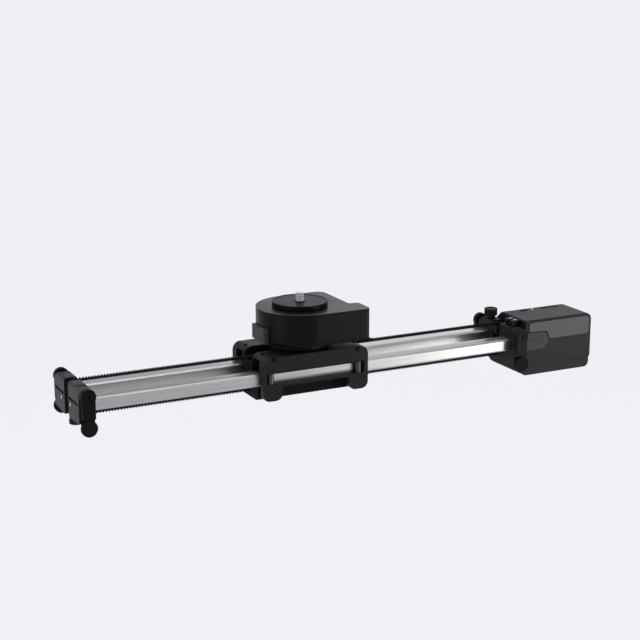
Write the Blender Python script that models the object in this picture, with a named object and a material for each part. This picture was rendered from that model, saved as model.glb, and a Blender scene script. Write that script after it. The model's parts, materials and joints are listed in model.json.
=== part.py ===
"""Belt-driven double-travel camera slider with a motor module, swing-out legs and a pan head.

The tripod carriage stands on its flat underside at z = 0. Two parallel rails slide through it
along X. A toothed belt runs round the rails and pulls the camera carriage twice as far.
Units are metres, with +Z up, +X towards the motor module and -Y towards the near side.
"""
import math

import bmesh
import bpy
from mathutils import Matrix, Vector

MM = 0.001
NEAR, FAR = -1, 1
LEFT, RIGHT = -1, 1
SIDES = {"near": NEAR, "far": FAR}
ENDS = {"left": LEFT, "right": RIGHT}

# Clearances
GAP = 0.3 * MM               # between pieces that touch on the real object
RUNNING = 0.05 * MM          # radial play of a shaft that turns in its hole
ROLL_PLAY = 0.12 * MM        # between a roller and the rail it runs on

# Rails
RAIL_WIDTH = 15.6 * MM
RAIL_HEIGHT = 12.4 * MM
RAIL_CHAMFER = 1.5 * MM
RAIL_GAP = 27.6 * MM
RAIL_IN_CAP = 8.0 * MM
RAIL_CORE = 7.0 * MM

# Belt and its idlers
BELT_PITCH = 3.0 * MM
BELT_TEETH = 338
BELT_WIDTH = 4.8 * MM
BELT_BODY = 1.2 * MM
BELT_TOOTH = 1.2 * MM
BELT_PROFILE = ((0.0, 0.0), (0.36, 0.0), (0.58, BELT_TOOTH), (0.78, BELT_TOOTH))
BELT_TOP = 18.0 * MM         # tooth tips above the rails' centre line
IDLER_RADIUS = 6.0 * MM
IDLER_WIDTH = 6.8 * MM
IDLER_AXLE = 2.0 * MM
IDLER_REACH = 12.0 * MM
LEFT_IDLER_X = -230.9 * MM
BELT_ROOM = 0.7 * MM          # between the belt and the end cap's front

# End caps
CAP_LENGTH = 13.2 * MM
CAP_BESIDE = 6.8 * MM        # outwards of the rails
CAP_SLOT = 12.0 * MM
CAP_TOP = 18.4 * MM
CAP_BOTTOM = 17.0 * MM
CAP_SHOULDER = 6.5 * MM      # how far its top falls towards the leg
CAP_SHOULDER_WIDE = 10.0 * MM
CAP_ROUND = 5.0 * MM
CAP_FRONT_ROUND = 3.0 * MM
CAP_HEM = 2.0 * MM           # chamfer along its lower outer edge
CAP_SLOT_ROUND = 1.0 * MM
CAP_GROOVE = 2.8 * MM
CAP_GROOVE_Z = 3.0 * MM
CAP_GROOVE_DEEP = 1.4 * MM
CAP_GROOVE_Y = (7.0 * MM, 34.0 * MM)

# Swing legs
LEG_THICK = 5.2 * MM
LEG_WIDTH = 13.0 * MM
LEG_DISC = 7.4 * MM
LEG_LENGTH = 29.8 * MM
LEG_PIVOT_Z = 11.2 * MM
LEG_PIVOT_OUT = 1.3 * MM     # pivot outwards of the idlers
FOOT_RADIUS = 7.8 * MM
FOOT_CLEAR = 0.6 * MM        # between the foot and the leg above it
FOOT_THICK = 3.5 * MM
FOOT_AROUND = 2.0 * MM       # of the notch that is cut for it
TONGUE = 2.1 * MM
BOLT_HEAD = 4.5 * MM
BOLT_HEAD_DEEP = 2.2 * MM
BOLT_SHANK = 2.5 * MM
BOLT_HEX = 2.0 * MM
BOLT_IN_CAP = 7.0 * MM
BOLT_SUNK = 0.2 * MM         # head below the leg's face
BOLT_HEX_DEEP = 1.2 * MM

# Thumb knobs on the end caps
KNOB_RADIUS = 6.9 * MM
KNOB_HEIGHT = 7.5 * MM
KNOB_NECK = 4.6 * MM
KNOB_NECK_HIGH = 2.6 * MM
KNOB_STEM = 2.5 * MM
KNOB_STEM_DEEP = 5.0 * MM
KNOB_TOOTH = 0.5 * MM
KNOB_TEETH = 18
TENSION_STEM_DEEP = 4.0 * MM
TENSION_KNOB_X = -234.5 * MM
KNOB_Y = 17.0 * MM
TENSION_KNOB_Y = -10.5 * MM
TENSION_KNOB_HEIGHT = 4.2 * MM

# Camera carriage
CARRIAGE_LENGTH = 113.6 * MM
DECK_BESIDE = 0.6 * MM       # outwards of the rails
DECK_TOP = 23.3 * MM
DECK_WALL = 4.6 * MM
DECK_CHANNEL = 20.0 * MM
DECK_RIB = 2.4 * MM
DECK_SKIRT = 3.0 * MM
RIB_OVER_CORE = 1.2 * MM
SKIRT_OVER_RAIL = 2.0 * MM
BRIDGE_LENGTH = 60.0 * MM
PLATE_THICK = 6.2 * MM
PLATE_BAR_Z = -6.6 * MM
PLATE_CORNER = 8.5 * MM
PLATE_NICK = 2.0 * MM
WINDOW_ROUND = 1.5 * MM
LOBE_BOTTOM = -20.2 * MM
LOBE_LENGTH = 20.8 * MM
LOBE_CORNER = 7.0 * MM
WINDOW_LENGTH = 105.0 * MM
WINDOW_LOW = -3.7 * MM
WINDOW_HIGH = 7.9 * MM
SIDE_ROLLER_X = 47.5 * MM
SIDE_ROLLER_RADIUS = 3.3 * MM
SIDE_ROLLER_HEIGHT = 13.6 * MM
ROLLER_PIN = 1.2 * MM
ROLLER_PIN_LONG = 2.2 * MM
UNDER_ROLLER_X = 39.8 * MM
UNDER_ROLLER_RADIUS = 4.0 * MM
UNDER_ROLLER_WIDTH = 4.6 * MM
UNDER_PIN_LONG = 4.4 * MM
CLAMP_LENGTH = 24.0 * MM
CLAMP_THICK = 0.9 * MM
CLAMP_EAR = 3.0 * MM
CLAMP_ROOM = 1.2 * MM         # beside the belt

# Tripod carriage
BASE_DEPTH = 22.0 * MM       # underside below the rails' centre line
BASE_TOP = -8.8 * MM
BASE_HALF_WIDTH = 24.0 * MM
BASE_CHAMFER = 2.0 * MM
CORE_PLAY = 3.2 * MM         # between the core and the rails
CORE_TOP = 14.0 * MM
SPOOL_X = 44.0 * MM
SPOOL_RADIUS = 3.2 * MM
SPOOL_FLANGE = 4.7 * MM
SPOOL_FLANGE_HIGH = 1.5 * MM
SPOOL_POCKET = 13.0 * MM
TUNNEL_WIDTH = 7.4 * MM
TUNNEL_PLAY = 0.5 * MM
THREAD_3_8 = 4.76 * MM
THREAD_1_4 = 3.18 * MM
THREAD_X = 20.0 * MM
THREAD_Y = 12.0 * MM
THREAD_DEEP = 8.0 * MM

# Pan head
PAN_BASE_RADIUS = 29.7 * MM
PAN_BASE_HEIGHT = 6.6 * MM
PAN_BODY_RADIUS = 43.4 * MM
PAN_BODY_HEIGHT = 31.6 * MM
PAN_WALL = 2.4 * MM
PAN_END_X = 46.0 * MM
PAN_TAIL_X = 56.0 * MM
PAN_TAIL_Y = -16.0 * MM
PAN_TAIL_ROUND = 4.5 * MM
PAN_STEP_ROUND = 2.0 * MM
PAN_CORNER = 9.0 * MM
PAN_FLOOR = 2.4 * MM
PLATFORM_RADIUS = 27.4 * MM
PLATFORM_HEIGHT = 4.6 * MM
PAN_SHAFT = 7.0 * MM
PAN_GEAR = 20.0 * MM
PAN_GEAR_HIGH = 3.4 * MM
PAN_GEAR_TOOTH = 0.9 * MM
PAN_GEAR_TEETH = 40
PAN_PINION_TEETH = 14
PAN_PINION_SHAFT = 1.5 * MM
PAN_PINION = 7.0 * MM
PAN_MOTOR = 9.0 * MM
PAN_MOTOR_HIGH = 18.0 * MM
SCREW_LENGTH = 8.0 * MM
SCREW_SUNK = 3.0 * MM
SCREW_SLIM = 0.6 * MM        # below the thread's outer radius
SIDE_BUTTON_WIDTH = 28.6 * MM
SIDE_BUTTON_HEIGHT = 14.2 * MM
SIDE_BUTTON_X = -45.2 * MM
SIDE_BUTTON_LOW = 1.0 * MM   # above the pan body's lower edge

# Motor module
MODULE_GAP = 0.5 * MM
MODULE_LENGTH = 82.8 * MM
MODULE_BESIDE = 1.0 * MM     # inwards of the caps' sides
MODULE_TOP = 25.0 * MM
MODULE_BOTTOM = 34.0 * MM
MODULE_SPLIT = -22.4 * MM
MODULE_SLOPE_Y = 11.0 * MM
MODULE_SLOPE_Z = 4.0 * MM
MODULE_WALL = 2.6 * MM
MODULE_INSET = 0.8 * MM
MODULE_FAR_ROUND = 9.0 * MM  # lower far edge of the base
MODULE_LEAST_ROUND = 0.6 * MM
MODULE_END_ROUND = 2.0 * MM
BASE_INSET = 0.6 * MM
BASE_ROUND = 1.5 * MM
MODULE_CORNER = 6.0 * MM
COVER_THICK = 0.6 * MM
COVER_LOW = 3.4 * MM
COVER_MIDDLE = 12.6 * MM
COVER_START = 3.7 * MM
COVER_STEP = 25.6 * MM
COVER_SWEEP = 4.5 * MM
COVER_CORNER = 4.0 * MM
TAB_LOW = -6.5 * MM
TAB_HIGH = 11.8 * MM
TAB_START = 1.2 * MM
TAB_END = 27.6 * MM
TAB_ROUND_SHARE = 0.48
LATCH_LOW = (-11.4 * MM, -26.0 * MM, 0.3 * MM)   # from the module's face and the cap's top
LATCH_HIGH = (-0.6 * MM, -12.0 * MM, 6.2 * MM)
LATCH_ROUND = 1.5 * MM
CLAMP_PLATE_THICK = 0.9 * MM
WHEEL_RADIUS = 9.0 * MM
WHEEL_WIDTH = 6.0 * MM
WHEEL_GEAR = 8.0 * MM
WHEEL_GEAR_Y = 7.0 * MM
WHEEL_GEAR_WIDE = 3.0 * MM
PINION_RADIUS = 4.0 * MM
PINION_SHAFT = 1.2 * MM
PINION_TEETH = 10
WHEEL_TOOTH = 1.0 * MM
WHEEL_TEETH = 18
WHEEL_GEAR_TEETH = 20
GEAR_TOOTH = 0.8 * MM
MOTOR_RADIUS = 11.0 * MM
MOTOR_LENGTH = 19.0 * MM
POWER_BUTTON = (7.0 * MM, 3.0 * MM, 1.6 * MM)
POWER_BUTTON_X = 24.0 * MM
BUTTON_PROUD = 0.5 * MM
POWER_BUTTON_Y = 5.0 * MM

# Places that follow from the sizes above
RAIL_Z = BASE_DEPTH
BELT_THICK = BELT_BODY + BELT_TOOTH
BELT_INNER = BELT_TOP - BELT_THICK
IDLER_Z = BELT_INNER - IDLER_RADIUS
PITCH_RADIUS = IDLER_RADIUS + BELT_BODY
IDLER_SPAN = (BELT_TEETH * BELT_PITCH - 4 * IDLER_Z - 2 * math.pi * PITCH_RADIUS) / 2
RIGHT_IDLER_X = LEFT_IDLER_X + IDLER_SPAN
IDLER_X = {"left": LEFT_IDLER_X, "right": RIGHT_IDLER_X}
RAIL_INNER_Y = RAIL_GAP / 2
RAIL_OUTER_Y = RAIL_INNER_Y + RAIL_WIDTH
CAP_HALF_WIDTH = RAIL_OUTER_Y + CAP_BESIDE
DECK_HALF_WIDTH = RAIL_OUTER_Y + DECK_BESIDE
MODULE_NEAR = CAP_HALF_WIDTH - MODULE_BESIDE
MODULE_FAR = MODULE_NEAR
CORE_HALF_WIDTH = RAIL_INNER_Y - CORE_PLAY
CAP_OUT = IDLER_RADIUS + BELT_THICK + BELT_ROOM
CAP_IN = CAP_LENGTH - CAP_OUT
LEG_INNER_Y = CAP_HALF_WIDTH + GAP
LEG_OUTER_Y = LEG_INNER_Y + LEG_THICK
PLATE_INNER_Y = DECK_HALF_WIDTH + GAP
PLATE_OUTER_Y = PLATE_INNER_Y + PLATE_THICK
SIDE_ROLLER_Y = RAIL_OUTER_Y + ROLL_PLAY + SIDE_ROLLER_RADIUS
UNDER_ROLLER_Z = -RAIL_HEIGHT / 2 - ROLL_PLAY - UNDER_ROLLER_RADIUS
SPOOL_Y = RAIL_INNER_Y - ROLL_PLAY - SPOOL_RADIUS
PAN_Z = DECK_TOP + GAP + PAN_BASE_HEIGHT + GAP
PAN_TOP = PAN_Z + PAN_BODY_HEIGHT
PLATFORM_Z = PAN_TOP + GAP
MODULE_X = RIGHT_IDLER_X + CAP_OUT + MODULE_GAP
WHEEL_X = RIGHT_IDLER_X + IDLER_RADIUS + BELT_THICK + GAP + WHEEL_RADIUS
PINION_X = WHEEL_X + WHEEL_GEAR + PINION_RADIUS + GAP

MATERIALS = {
    "clear_aluminium": ((0.62, 0.63, 0.63), 0.32, 1.0),
    "black_anodised": ((0.02, 0.02, 0.022), 0.42, 0.6),
    "black_plastic": ((0.018, 0.018, 0.02), 0.5, 0.0),
    "grey_plastic": ((0.085, 0.085, 0.088), 0.55, 0.0),
    "dark_plastic": ((0.045, 0.045, 0.048), 0.55, 0.0),
    "black_rubber": ((0.01, 0.01, 0.01), 0.85, 0.0),
    "steel": ((0.5, 0.5, 0.5), 0.3, 1.0),
    "acetal": ((0.03, 0.03, 0.03), 0.4, 0.0),
}


def material(slot):
    """Return the named Principled material, made on first use."""
    if slot in bpy.data.materials:
        return bpy.data.materials[slot]
    colour, roughness, metallic = MATERIALS[slot]
    made = bpy.data.materials.new(slot)
    made.use_nodes = True
    shader = made.node_tree.nodes["Principled BSDF"]
    shader.inputs["Base Color"].default_value = (*colour, 1.0)
    shader.inputs["Roughness"].default_value = roughness
    shader.inputs["Metallic"].default_value = metallic
    return made


def rounded(corners, steps=4):
    """Return an outline whose corners (a, b, radius) are rounded by arcs."""
    points = []
    count = len(corners)
    for index, (a, b, radius) in enumerate(corners):
        here = Vector((a, b))
        if radius <= 0:
            points.append(here)
            continue
        before = (Vector(corners[index - 1][:2]) - here).normalized()
        after = (Vector(corners[(index + 1) % count][:2]) - here).normalized()
        half = math.acos(max(-1, min(1, before.dot(after)))) / 2
        centre = here + (before + after).normalized() * radius / math.sin(half)
        start = here + before * radius / math.tan(half) - centre
        end = here + after * radius / math.tan(half) - centre
        sweep = start.angle_signed(end)
        for step in range(steps + 1):
            turned = Matrix.Rotation(-sweep * step / steps, 2) @ start
            points.append(centre + turned)
    return points


def rectangle(low, high, radius=0.0, steps=4):
    """Return a rectangle's outline between two opposite corners."""
    (a, b), (c, d) = low, high
    return rounded([(a, b, radius), (c, b, radius), (c, d, radius), (a, d, radius)], steps)


def circle(centre, radius, steps=32):
    """Return a circle's outline."""
    return [Vector(centre) + radius * Vector((math.cos(t), math.sin(t)))
            for t in (2 * math.pi * step / steps for step in range(steps))]


def teeth_wheel(centre, root, tip, count):
    """Return the outline of a toothed wheel."""
    points = []
    for step in range(4 * count):
        radius = root if step % 4 in (0, 1) else tip
        turn = 2 * math.pi * step / (4 * count)
        points.append(Vector(centre) + radius * Vector((math.cos(turn), math.sin(turn))))
    return points


def on_plane(axis, a, b, along):
    """Return the point at (a, b) on the plane across an axis."""
    return {"X": (along, a, b), "Y": (a, along, b), "Z": (a, b, along)}[axis]


def prism(points, axis, low, high, name="piece"):
    """Return an object: an outline extruded along an axis from low to high."""
    mesh = bmesh.new()
    low, high = sorted((low, high))
    ring = [mesh.verts.new(on_plane(axis, a, b, low)) for a, b in points]
    face = mesh.faces.new(ring)
    grown = bmesh.ops.extrude_face_region(mesh, geom=[face])
    moved = [item for item in grown["geom"] if isinstance(item, bmesh.types.BMVert)]
    shift = Vector(on_plane(axis, 0, 0, high - low))
    bmesh.ops.translate(mesh, verts=moved, vec=shift)
    bmesh.ops.recalc_face_normals(mesh, faces=mesh.faces)
    data = bpy.data.meshes.new(name)
    mesh.to_mesh(data)
    mesh.free()
    made = bpy.data.objects.new(name, data)
    bpy.context.collection.objects.link(made)
    return made


def box(low, high, name="piece"):
    """Return a box between two opposite corners."""
    return prism(rectangle(low[:2], high[:2]), "Z", low[2], high[2], name)


def rod(axis, centre, radius, low, high, steps=32):
    """Return a cylinder along an axis."""
    return prism(circle(centre, radius, steps), axis, low, high)


def combine(target, others, operation):
    """Apply one Boolean after another and remove the pieces that made it."""
    for other in others:
        change = target.modifiers.new("shape", "BOOLEAN")
        change.operation = operation
        change.solver = "EXACT"
        change.object = other
        bpy.context.view_layer.update()
        seen = target.evaluated_get(bpy.context.evaluated_depsgraph_get())
        data = bpy.data.meshes.new_from_object(seen)
        target.modifiers.clear()
        target.data = data
        bpy.data.objects.remove(other)
    return target


def cut(target, *others):
    """Cut the other pieces out of the target."""
    return combine(target, others, "DIFFERENCE")


def join(target, *others):
    """Melt the other pieces into the target."""
    return combine(target, others, "UNION")


def group(name, parent=None, place=(0, 0, 0)):
    """Return an empty that carries the pieces of one moving body."""
    made = bpy.data.objects.new(name, None)
    made.location = place
    bpy.context.collection.objects.link(made)
    if parent:
        attach(made, parent)
    return made


def attach(piece, parent):
    """Parent a piece without moving it."""
    bpy.context.view_layer.update()
    piece.parent = parent
    piece.matrix_parent_inverse = parent.matrix_world.inverted()


def finish(piece, name, slot, parent, origin=(0, 0, 0), smooth=32):
    """Name a piece, set its origin, its material and its parent, and shade it."""
    piece.name = name
    piece.data.name = name
    piece.data.transform(Matrix.Translation(-Vector(origin)))
    piece.location = origin
    piece.data.materials.clear()
    piece.data.materials.append(material(slot))
    piece.data.shade_smooth()
    piece.data.set_sharp_from_angle(angle=math.radians(smooth))
    attach(piece, parent)
    return piece


def up(height):
    """Return the height above the ground of a height above the rails' centre line."""
    return RAIL_Z + height


# ---------------------------------------------------------------- rails and belt

def rail_outline(play=0.0):
    """Return a rail's section (y, z) on the far side, grown by a play."""
    inner, outer = RAIL_INNER_Y - play, RAIL_OUTER_Y + play
    half = RAIL_HEIGHT / 2 + play
    chamfer = RAIL_CHAMFER
    return [Vector((y, up(z))) for y, z in (
        (inner, -half + chamfer), (inner + chamfer, -half), (outer - chamfer, -half),
        (outer, -half + chamfer), (outer, half - chamfer), (outer - chamfer, half),
        (inner + chamfer, half), (inner, half - chamfer))]


def mirrored(points, side):
    """Return an outline whose first value is mirrored on the near side."""
    return [Vector((side * a, b)) for a, b in points]


def rail_ends():
    """Return where the rails start and end inside the caps."""
    return (LEFT_IDLER_X + CAP_IN - RAIL_IN_CAP, RIGHT_IDLER_X - CAP_IN + RAIL_IN_CAP)


def make_rail(name, side, parent):
    """Make one chamfered rail with a round core hole along it."""
    low, high = rail_ends()
    rail = prism(mirrored(rail_outline(), side), "X", low, high)
    middle = side * (RAIL_INNER_Y + RAIL_OUTER_Y) / 2
    cut(rail, rod("X", (middle, RAIL_Z), RAIL_CORE / 2, low - MM, high + MM, 16))
    finish(rail, name, "clear_aluminium", parent)


def belt_point(distance, lift):
    """Return the point (x, z) at a distance along the belt's pitch line, lifted outwards."""
    straight, upright = IDLER_SPAN, 2 * IDLER_Z
    quarter = math.pi / 2 * PITCH_RADIUS
    left, right = LEFT_IDLER_X, RIGHT_IDLER_X
    turns = ((straight, (left, IDLER_Z), (1, 0), (right, IDLER_Z)),
             (upright, (right, IDLER_Z), (0, -1), (right, -IDLER_Z)),
             (straight, (right, -IDLER_Z), (-1, 0), (left, -IDLER_Z)),
             (upright, (left, -IDLER_Z), (0, 1), (left, IDLER_Z)))
    for length, start, way, corner in turns:
        ahead = Vector(way)
        out = Vector((-ahead.y, ahead.x))
        if distance <= length:
            return Vector(start) + ahead * distance + out * (PITCH_RADIUS + lift)
        distance -= length
        if distance <= quarter:
            turned = Matrix.Rotation(-distance / PITCH_RADIUS, 2) @ out
            return Vector(corner) + turned * (PITCH_RADIUS + lift)
        distance -= quarter
    return belt_point(distance, lift)


def make_belt(parent):
    """Make the toothed belt, a loop with its teeth outwards."""
    outer = []
    for tooth in range(BELT_TEETH):
        for share, lift in BELT_PROFILE:
            outer.append(belt_point((tooth + share) * BELT_PITCH, lift))
    inner = rectangle((LEFT_IDLER_X - IDLER_RADIUS, -BELT_INNER),
                      (RIGHT_IDLER_X + IDLER_RADIUS, BELT_INNER), IDLER_RADIUS, 8)
    half = BELT_WIDTH / 2
    belt = prism([(x, up(z)) for x, z in outer], "Y", -half, half)
    cut(belt, prism([(x, up(z)) for x, z in inner], "Y", -half - MM, half + MM))
    finish(belt, "drive_belt", "black_rubber", parent)


def make_idler(name, x, z, parent):
    """Make one idler with its own stub axle."""
    wheel = rod("Y", (x, z), IDLER_RADIUS - GAP, -IDLER_WIDTH / 2, IDLER_WIDTH / 2)
    join(wheel, rod("Y", (x, z), IDLER_AXLE, -IDLER_REACH, IDLER_REACH, 24))
    finish(wheel, name, "steel", parent, (x, 0, z))


# ---------------------------------------------------------------- end caps and legs

def cap_outline():
    """Return a cap's section (y, z) on the far side."""
    inner, outer = CAP_SLOT / 2, CAP_HALF_WIDTH
    return rounded([(inner, up(-CAP_BOTTOM), CAP_SLOT_ROUND),
                    (outer, up(-CAP_BOTTOM + CAP_HEM), CAP_HEM),
                    (outer, up(CAP_TOP - CAP_SHOULDER), CAP_ROUND),
                    (outer - CAP_SHOULDER_WIDE, up(CAP_TOP), CAP_ROUND),
                    (inner, up(CAP_TOP), CAP_SLOT_ROUND)])


def make_cap(end, side_name, parent):
    """Make one half of an end cap, with its rail pocket and its holes."""
    way, side, x = ENDS[end], SIDES[side_name], IDLER_X[end]
    outer, inner = x + way * CAP_OUT, x - way * CAP_IN
    cap = prism(mirrored(cap_outline(), side), "X", outer, inner)
    low = up(-CAP_BOTTOM) - CAP_ROUND
    side_view = rounded([(outer, low, 0), (outer, up(CAP_TOP), CAP_FRONT_ROUND),
                         (inner, up(CAP_TOP), CAP_FRONT_ROUND), (inner, low, 0)])
    combine(cap, [prism(side_view, "Y", -2 * CAP_HALF_WIDTH, 2 * CAP_HALF_WIDTH)], "INTERSECT")
    pocket = prism(mirrored(rail_outline(GAP), side), "X", inner - way * MM,
                   inner + way * (RAIL_IN_CAP + GAP))
    pivot = (x + way * LEG_PIVOT_OUT, up(LEG_PIVOT_Z))
    deep = CAP_HALF_WIDTH - BOLT_IN_CAP - GAP
    bolt = rod("Y", pivot, BOLT_SHANK + GAP, side * deep, side * (CAP_HALF_WIDTH + MM), 24)
    axles = [rod("Y", (x, up(sign * IDLER_Z)), IDLER_AXLE + RUNNING, side * CAP_SLOT / 4,
                 side * (IDLER_REACH + GAP), 24) for sign in (-1, 1)]
    start, end_y = sorted(side * y for y in CAP_GROOVE_Y)
    near_x, far_x = sorted((outer - way * CAP_GROOVE_DEEP, outer + way * MM))
    groove = box((near_x, start, up(CAP_GROOVE_Z - CAP_GROOVE / 2)),
                 (far_x, end_y, up(CAP_GROOVE_Z + CAP_GROOVE / 2)))
    cut(cap, pocket, bolt, *axles, groove)
    if (end, side_name) == ("right", "far"):
        cut(cap, rod("Z", (x, KNOB_Y), KNOB_STEM + GAP, up(CAP_TOP - KNOB_STEM_DEEP - GAP),
                     up(CAP_TOP + MM), 24))
    if (end, side_name) == ("left", "near"):
        cut(cap, rod("Z", (TENSION_KNOB_X, TENSION_KNOB_Y), KNOB_STEM + GAP, up(-CAP_BOTTOM - MM),
                     up(-CAP_BOTTOM + TENSION_STEM_DEEP + GAP), 24))
    finish(cap, f"{end}_cap_{side_name}", "black_anodised", parent)


def make_leg(end, side_name, parent):
    """Make a swing leg, its rubber foot and its pivot bolt."""
    way, side = ENDS[end], SIDES[side_name]
    x, z = IDLER_X[end] + way * LEG_PIVOT_OUT, up(LEG_PIVOT_Z)
    foot_z = z - LEG_LENGTH
    half = LEG_WIDTH / 2
    body = group(f"{end}_{side_name}_leg_pivot", parent, (x, side * LEG_INNER_Y, z))
    arm = prism(circle((x, z), LEG_DISC), "Y", side * LEG_INNER_Y, side * LEG_OUTER_Y)
    shank = prism(rectangle((x - half, foot_z), (x + half, z)), "Y",
                  side * LEG_INNER_Y, side * LEG_OUTER_Y)
    toe = prism(circle((x, foot_z), half), "Y", side * LEG_INNER_Y, side * LEG_OUTER_Y)
    join(arm, shank, toe)
    lap_y = LEG_INNER_Y + TONGUE
    wide = FOOT_RADIUS + FOOT_AROUND
    lap = prism(rectangle((x - wide, foot_z - wide), (x + wide, foot_z + FOOT_RADIUS + FOOT_CLEAR)),
                "Y", side * lap_y, side * (LEG_OUTER_Y + MM))
    head_y = LEG_OUTER_Y - BOLT_HEAD_DEEP
    sink = rod("Y", (x, z), BOLT_HEAD + GAP, side * (head_y - GAP), side * (LEG_OUTER_Y + MM))
    bore = rod("Y", (x, z), BOLT_SHANK + RUNNING, side * (LEG_INNER_Y - MM), side * LEG_OUTER_Y)
    cut(arm, lap, sink, bore)
    finish(arm, f"{end}_{side_name}_leg", "black_anodised", body, (x, side * LEG_INNER_Y, z))

    foot_y = lap_y + GAP
    foot = rod("Y", (x, foot_z), FOOT_RADIUS, side * foot_y, side * (foot_y + FOOT_THICK))
    finish(foot, f"{end}_{side_name}_foot", "black_rubber", body, (x, side * foot_y, foot_z))

    tip = CAP_HALF_WIDTH - BOLT_IN_CAP
    bolt = rod("Y", (x, z), BOLT_HEAD, side * head_y, side * (LEG_OUTER_Y - BOLT_SUNK))
    join(bolt, rod("Y", (x, z), BOLT_SHANK, side * tip, side * (head_y + MM), 32))
    cut(bolt, rod("Y", (x, z), BOLT_HEX, side * (LEG_OUTER_Y - BOLT_SUNK - BOLT_HEX_DEEP),
                  side * LEG_OUTER_Y, 6))
    finish(bolt, f"{end}_{side_name}_leg_bolt", "black_anodised", parent, (x, side * head_y, z))


def make_knobs(parent):
    """Make the thumb knob on the right cap and the belt tension knob under the left cap."""
    x, top = RIGHT_IDLER_X, up(CAP_TOP)
    low = top + GAP
    knob = prism(teeth_wheel((x, KNOB_Y), KNOB_RADIUS - KNOB_TOOTH, KNOB_RADIUS, KNOB_TEETH), "Z",
                 low + KNOB_NECK_HIGH, low + KNOB_NECK_HIGH + KNOB_HEIGHT)
    join(knob, rod("Z", (x, KNOB_Y), KNOB_NECK, low, low + KNOB_NECK_HIGH + MM),
         rod("Z", (x, KNOB_Y), KNOB_STEM, top - KNOB_STEM_DEEP, low + MM, 24))
    finish(knob, "module_lock_knob", "black_anodised", parent, (x, KNOB_Y, low))

    x, bottom = TENSION_KNOB_X, up(-CAP_BOTTOM)
    high = bottom - GAP
    knob = prism(teeth_wheel((x, TENSION_KNOB_Y), KNOB_RADIUS - KNOB_TOOTH, KNOB_RADIUS,
                             KNOB_TEETH), "Z", high - TENSION_KNOB_HEIGHT, high)
    join(knob, rod("Z", (x, TENSION_KNOB_Y), KNOB_STEM, high - MM,
                   bottom + TENSION_STEM_DEEP, 24))
    finish(knob, "belt_tension_knob", "black_anodised", parent, (x, TENSION_KNOB_Y, high))


# ---------------------------------------------------------------- camera carriage

def make_deck(parent):
    """Make the deck: two shoulders over the rails, joined by a bridge over the belt."""
    half = CARRIAGE_LENGTH / 2
    low, high = up(DECK_TOP - DECK_WALL), up(DECK_TOP)
    deck = prism(rectangle((-half, -DECK_HALF_WIDTH), (half, DECK_HALF_WIDTH)), "Z", low, high)
    for side in SIDES.values():
        rib = rectangle((-half, side * DECK_CHANNEL / 2),
                        (half, side * (DECK_CHANNEL / 2 + DECK_RIB)))
        join(deck, prism(rib, "Z", up(CORE_TOP + RIB_OVER_CORE), low + MM))
        outer = rectangle((-half, side * (DECK_HALF_WIDTH - DECK_SKIRT)),
                          (half, side * DECK_HALF_WIDTH))
        join(deck, prism(outer, "Z", up(RAIL_HEIGHT / 2 + SKIRT_OVER_RAIL), low + MM))
    for end in ENDS.values():
        slot = rectangle((end * BRIDGE_LENGTH / 2, -DECK_CHANNEL / 2),
                         (end * (half + MM), DECK_CHANNEL / 2))
        cut(deck, prism(slot, "Z", low - MM, high + MM))
    profile = rounded([(-half, RAIL_Z, 0), (half, RAIL_Z, 0), (half, high, PLATE_CORNER),
                       (-half, high, PLATE_CORNER)], 6)
    combine(deck, [prism(profile, "Y", -PLATE_OUTER_Y, PLATE_OUTER_Y)], "INTERSECT")
    finish(deck, "carriage_deck", "black_anodised", parent)


def plate_outline():
    """Return the side plate's outline (x, z), with its two lobes."""
    half = CARRIAGE_LENGTH / 2
    inner = half - LOBE_LENGTH
    top, bar, low = up(DECK_TOP), up(PLATE_BAR_Z), up(LOBE_BOTTOM)
    corner, lobe, nick = PLATE_CORNER, LOBE_CORNER, PLATE_NICK
    return rounded([(-half, top, corner), (-half, low, lobe), (-inner, low, lobe),
                    (-inner, bar, nick), (inner, bar, nick), (inner, low, lobe),
                    (half, low, lobe), (half, top, corner)], 6)


def make_plate(side_name, parent):
    """Make one side plate, with its window and the roller pockets."""
    side = SIDES[side_name]
    inner, outer = side * PLATE_INNER_Y, side * PLATE_OUTER_Y
    plate = prism(plate_outline(), "Y", inner, outer)
    half = WINDOW_LENGTH / 2
    window = prism(rectangle((-half, up(WINDOW_LOW)), (half, up(WINDOW_HIGH)), WINDOW_ROUND), "Y",
                   inner - side * MM, outer + side * MM)
    cut(plate, window)
    pocket_half = SIDE_ROLLER_HEIGHT / 2 + GAP
    pin_half = pocket_half + ROLLER_PIN_LONG + GAP
    wide = SIDE_ROLLER_RADIUS + GAP
    for end in ENDS.values():
        x = end * SIDE_ROLLER_X
        pocket = prism(rectangle((x - wide, up(-pocket_half)), (x + wide, up(pocket_half))), "Y",
                       inner - side * MM, side * (SIDE_ROLLER_Y + wide))
        pin = rod("Z", (x, side * SIDE_ROLLER_Y), ROLLER_PIN + RUNNING,
                  up(-pin_half), up(pin_half), 16)
        under = rod("Y", (end * UNDER_ROLLER_X, up(UNDER_ROLLER_Z)), ROLLER_PIN + RUNNING,
                    inner - side * MM, inner + side * (UNDER_PIN_LONG + GAP), 16)
        cut(plate, pocket, pin, under)
    finish(plate, f"{side_name}_side_plate", "black_anodised", parent)


def make_side_roller(name, x, side, parent):
    """Make an upright roller that runs on a rail's outer face."""
    place = (x, side * SIDE_ROLLER_Y)
    half = SIDE_ROLLER_HEIGHT / 2
    roller = rod("Z", place, SIDE_ROLLER_RADIUS, up(-half), up(half))
    join(roller, rod("Z", place, ROLLER_PIN, up(-half - ROLLER_PIN_LONG),
                     up(half + ROLLER_PIN_LONG), 16))
    finish(roller, name, "steel", parent, (*place, RAIL_Z))


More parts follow.
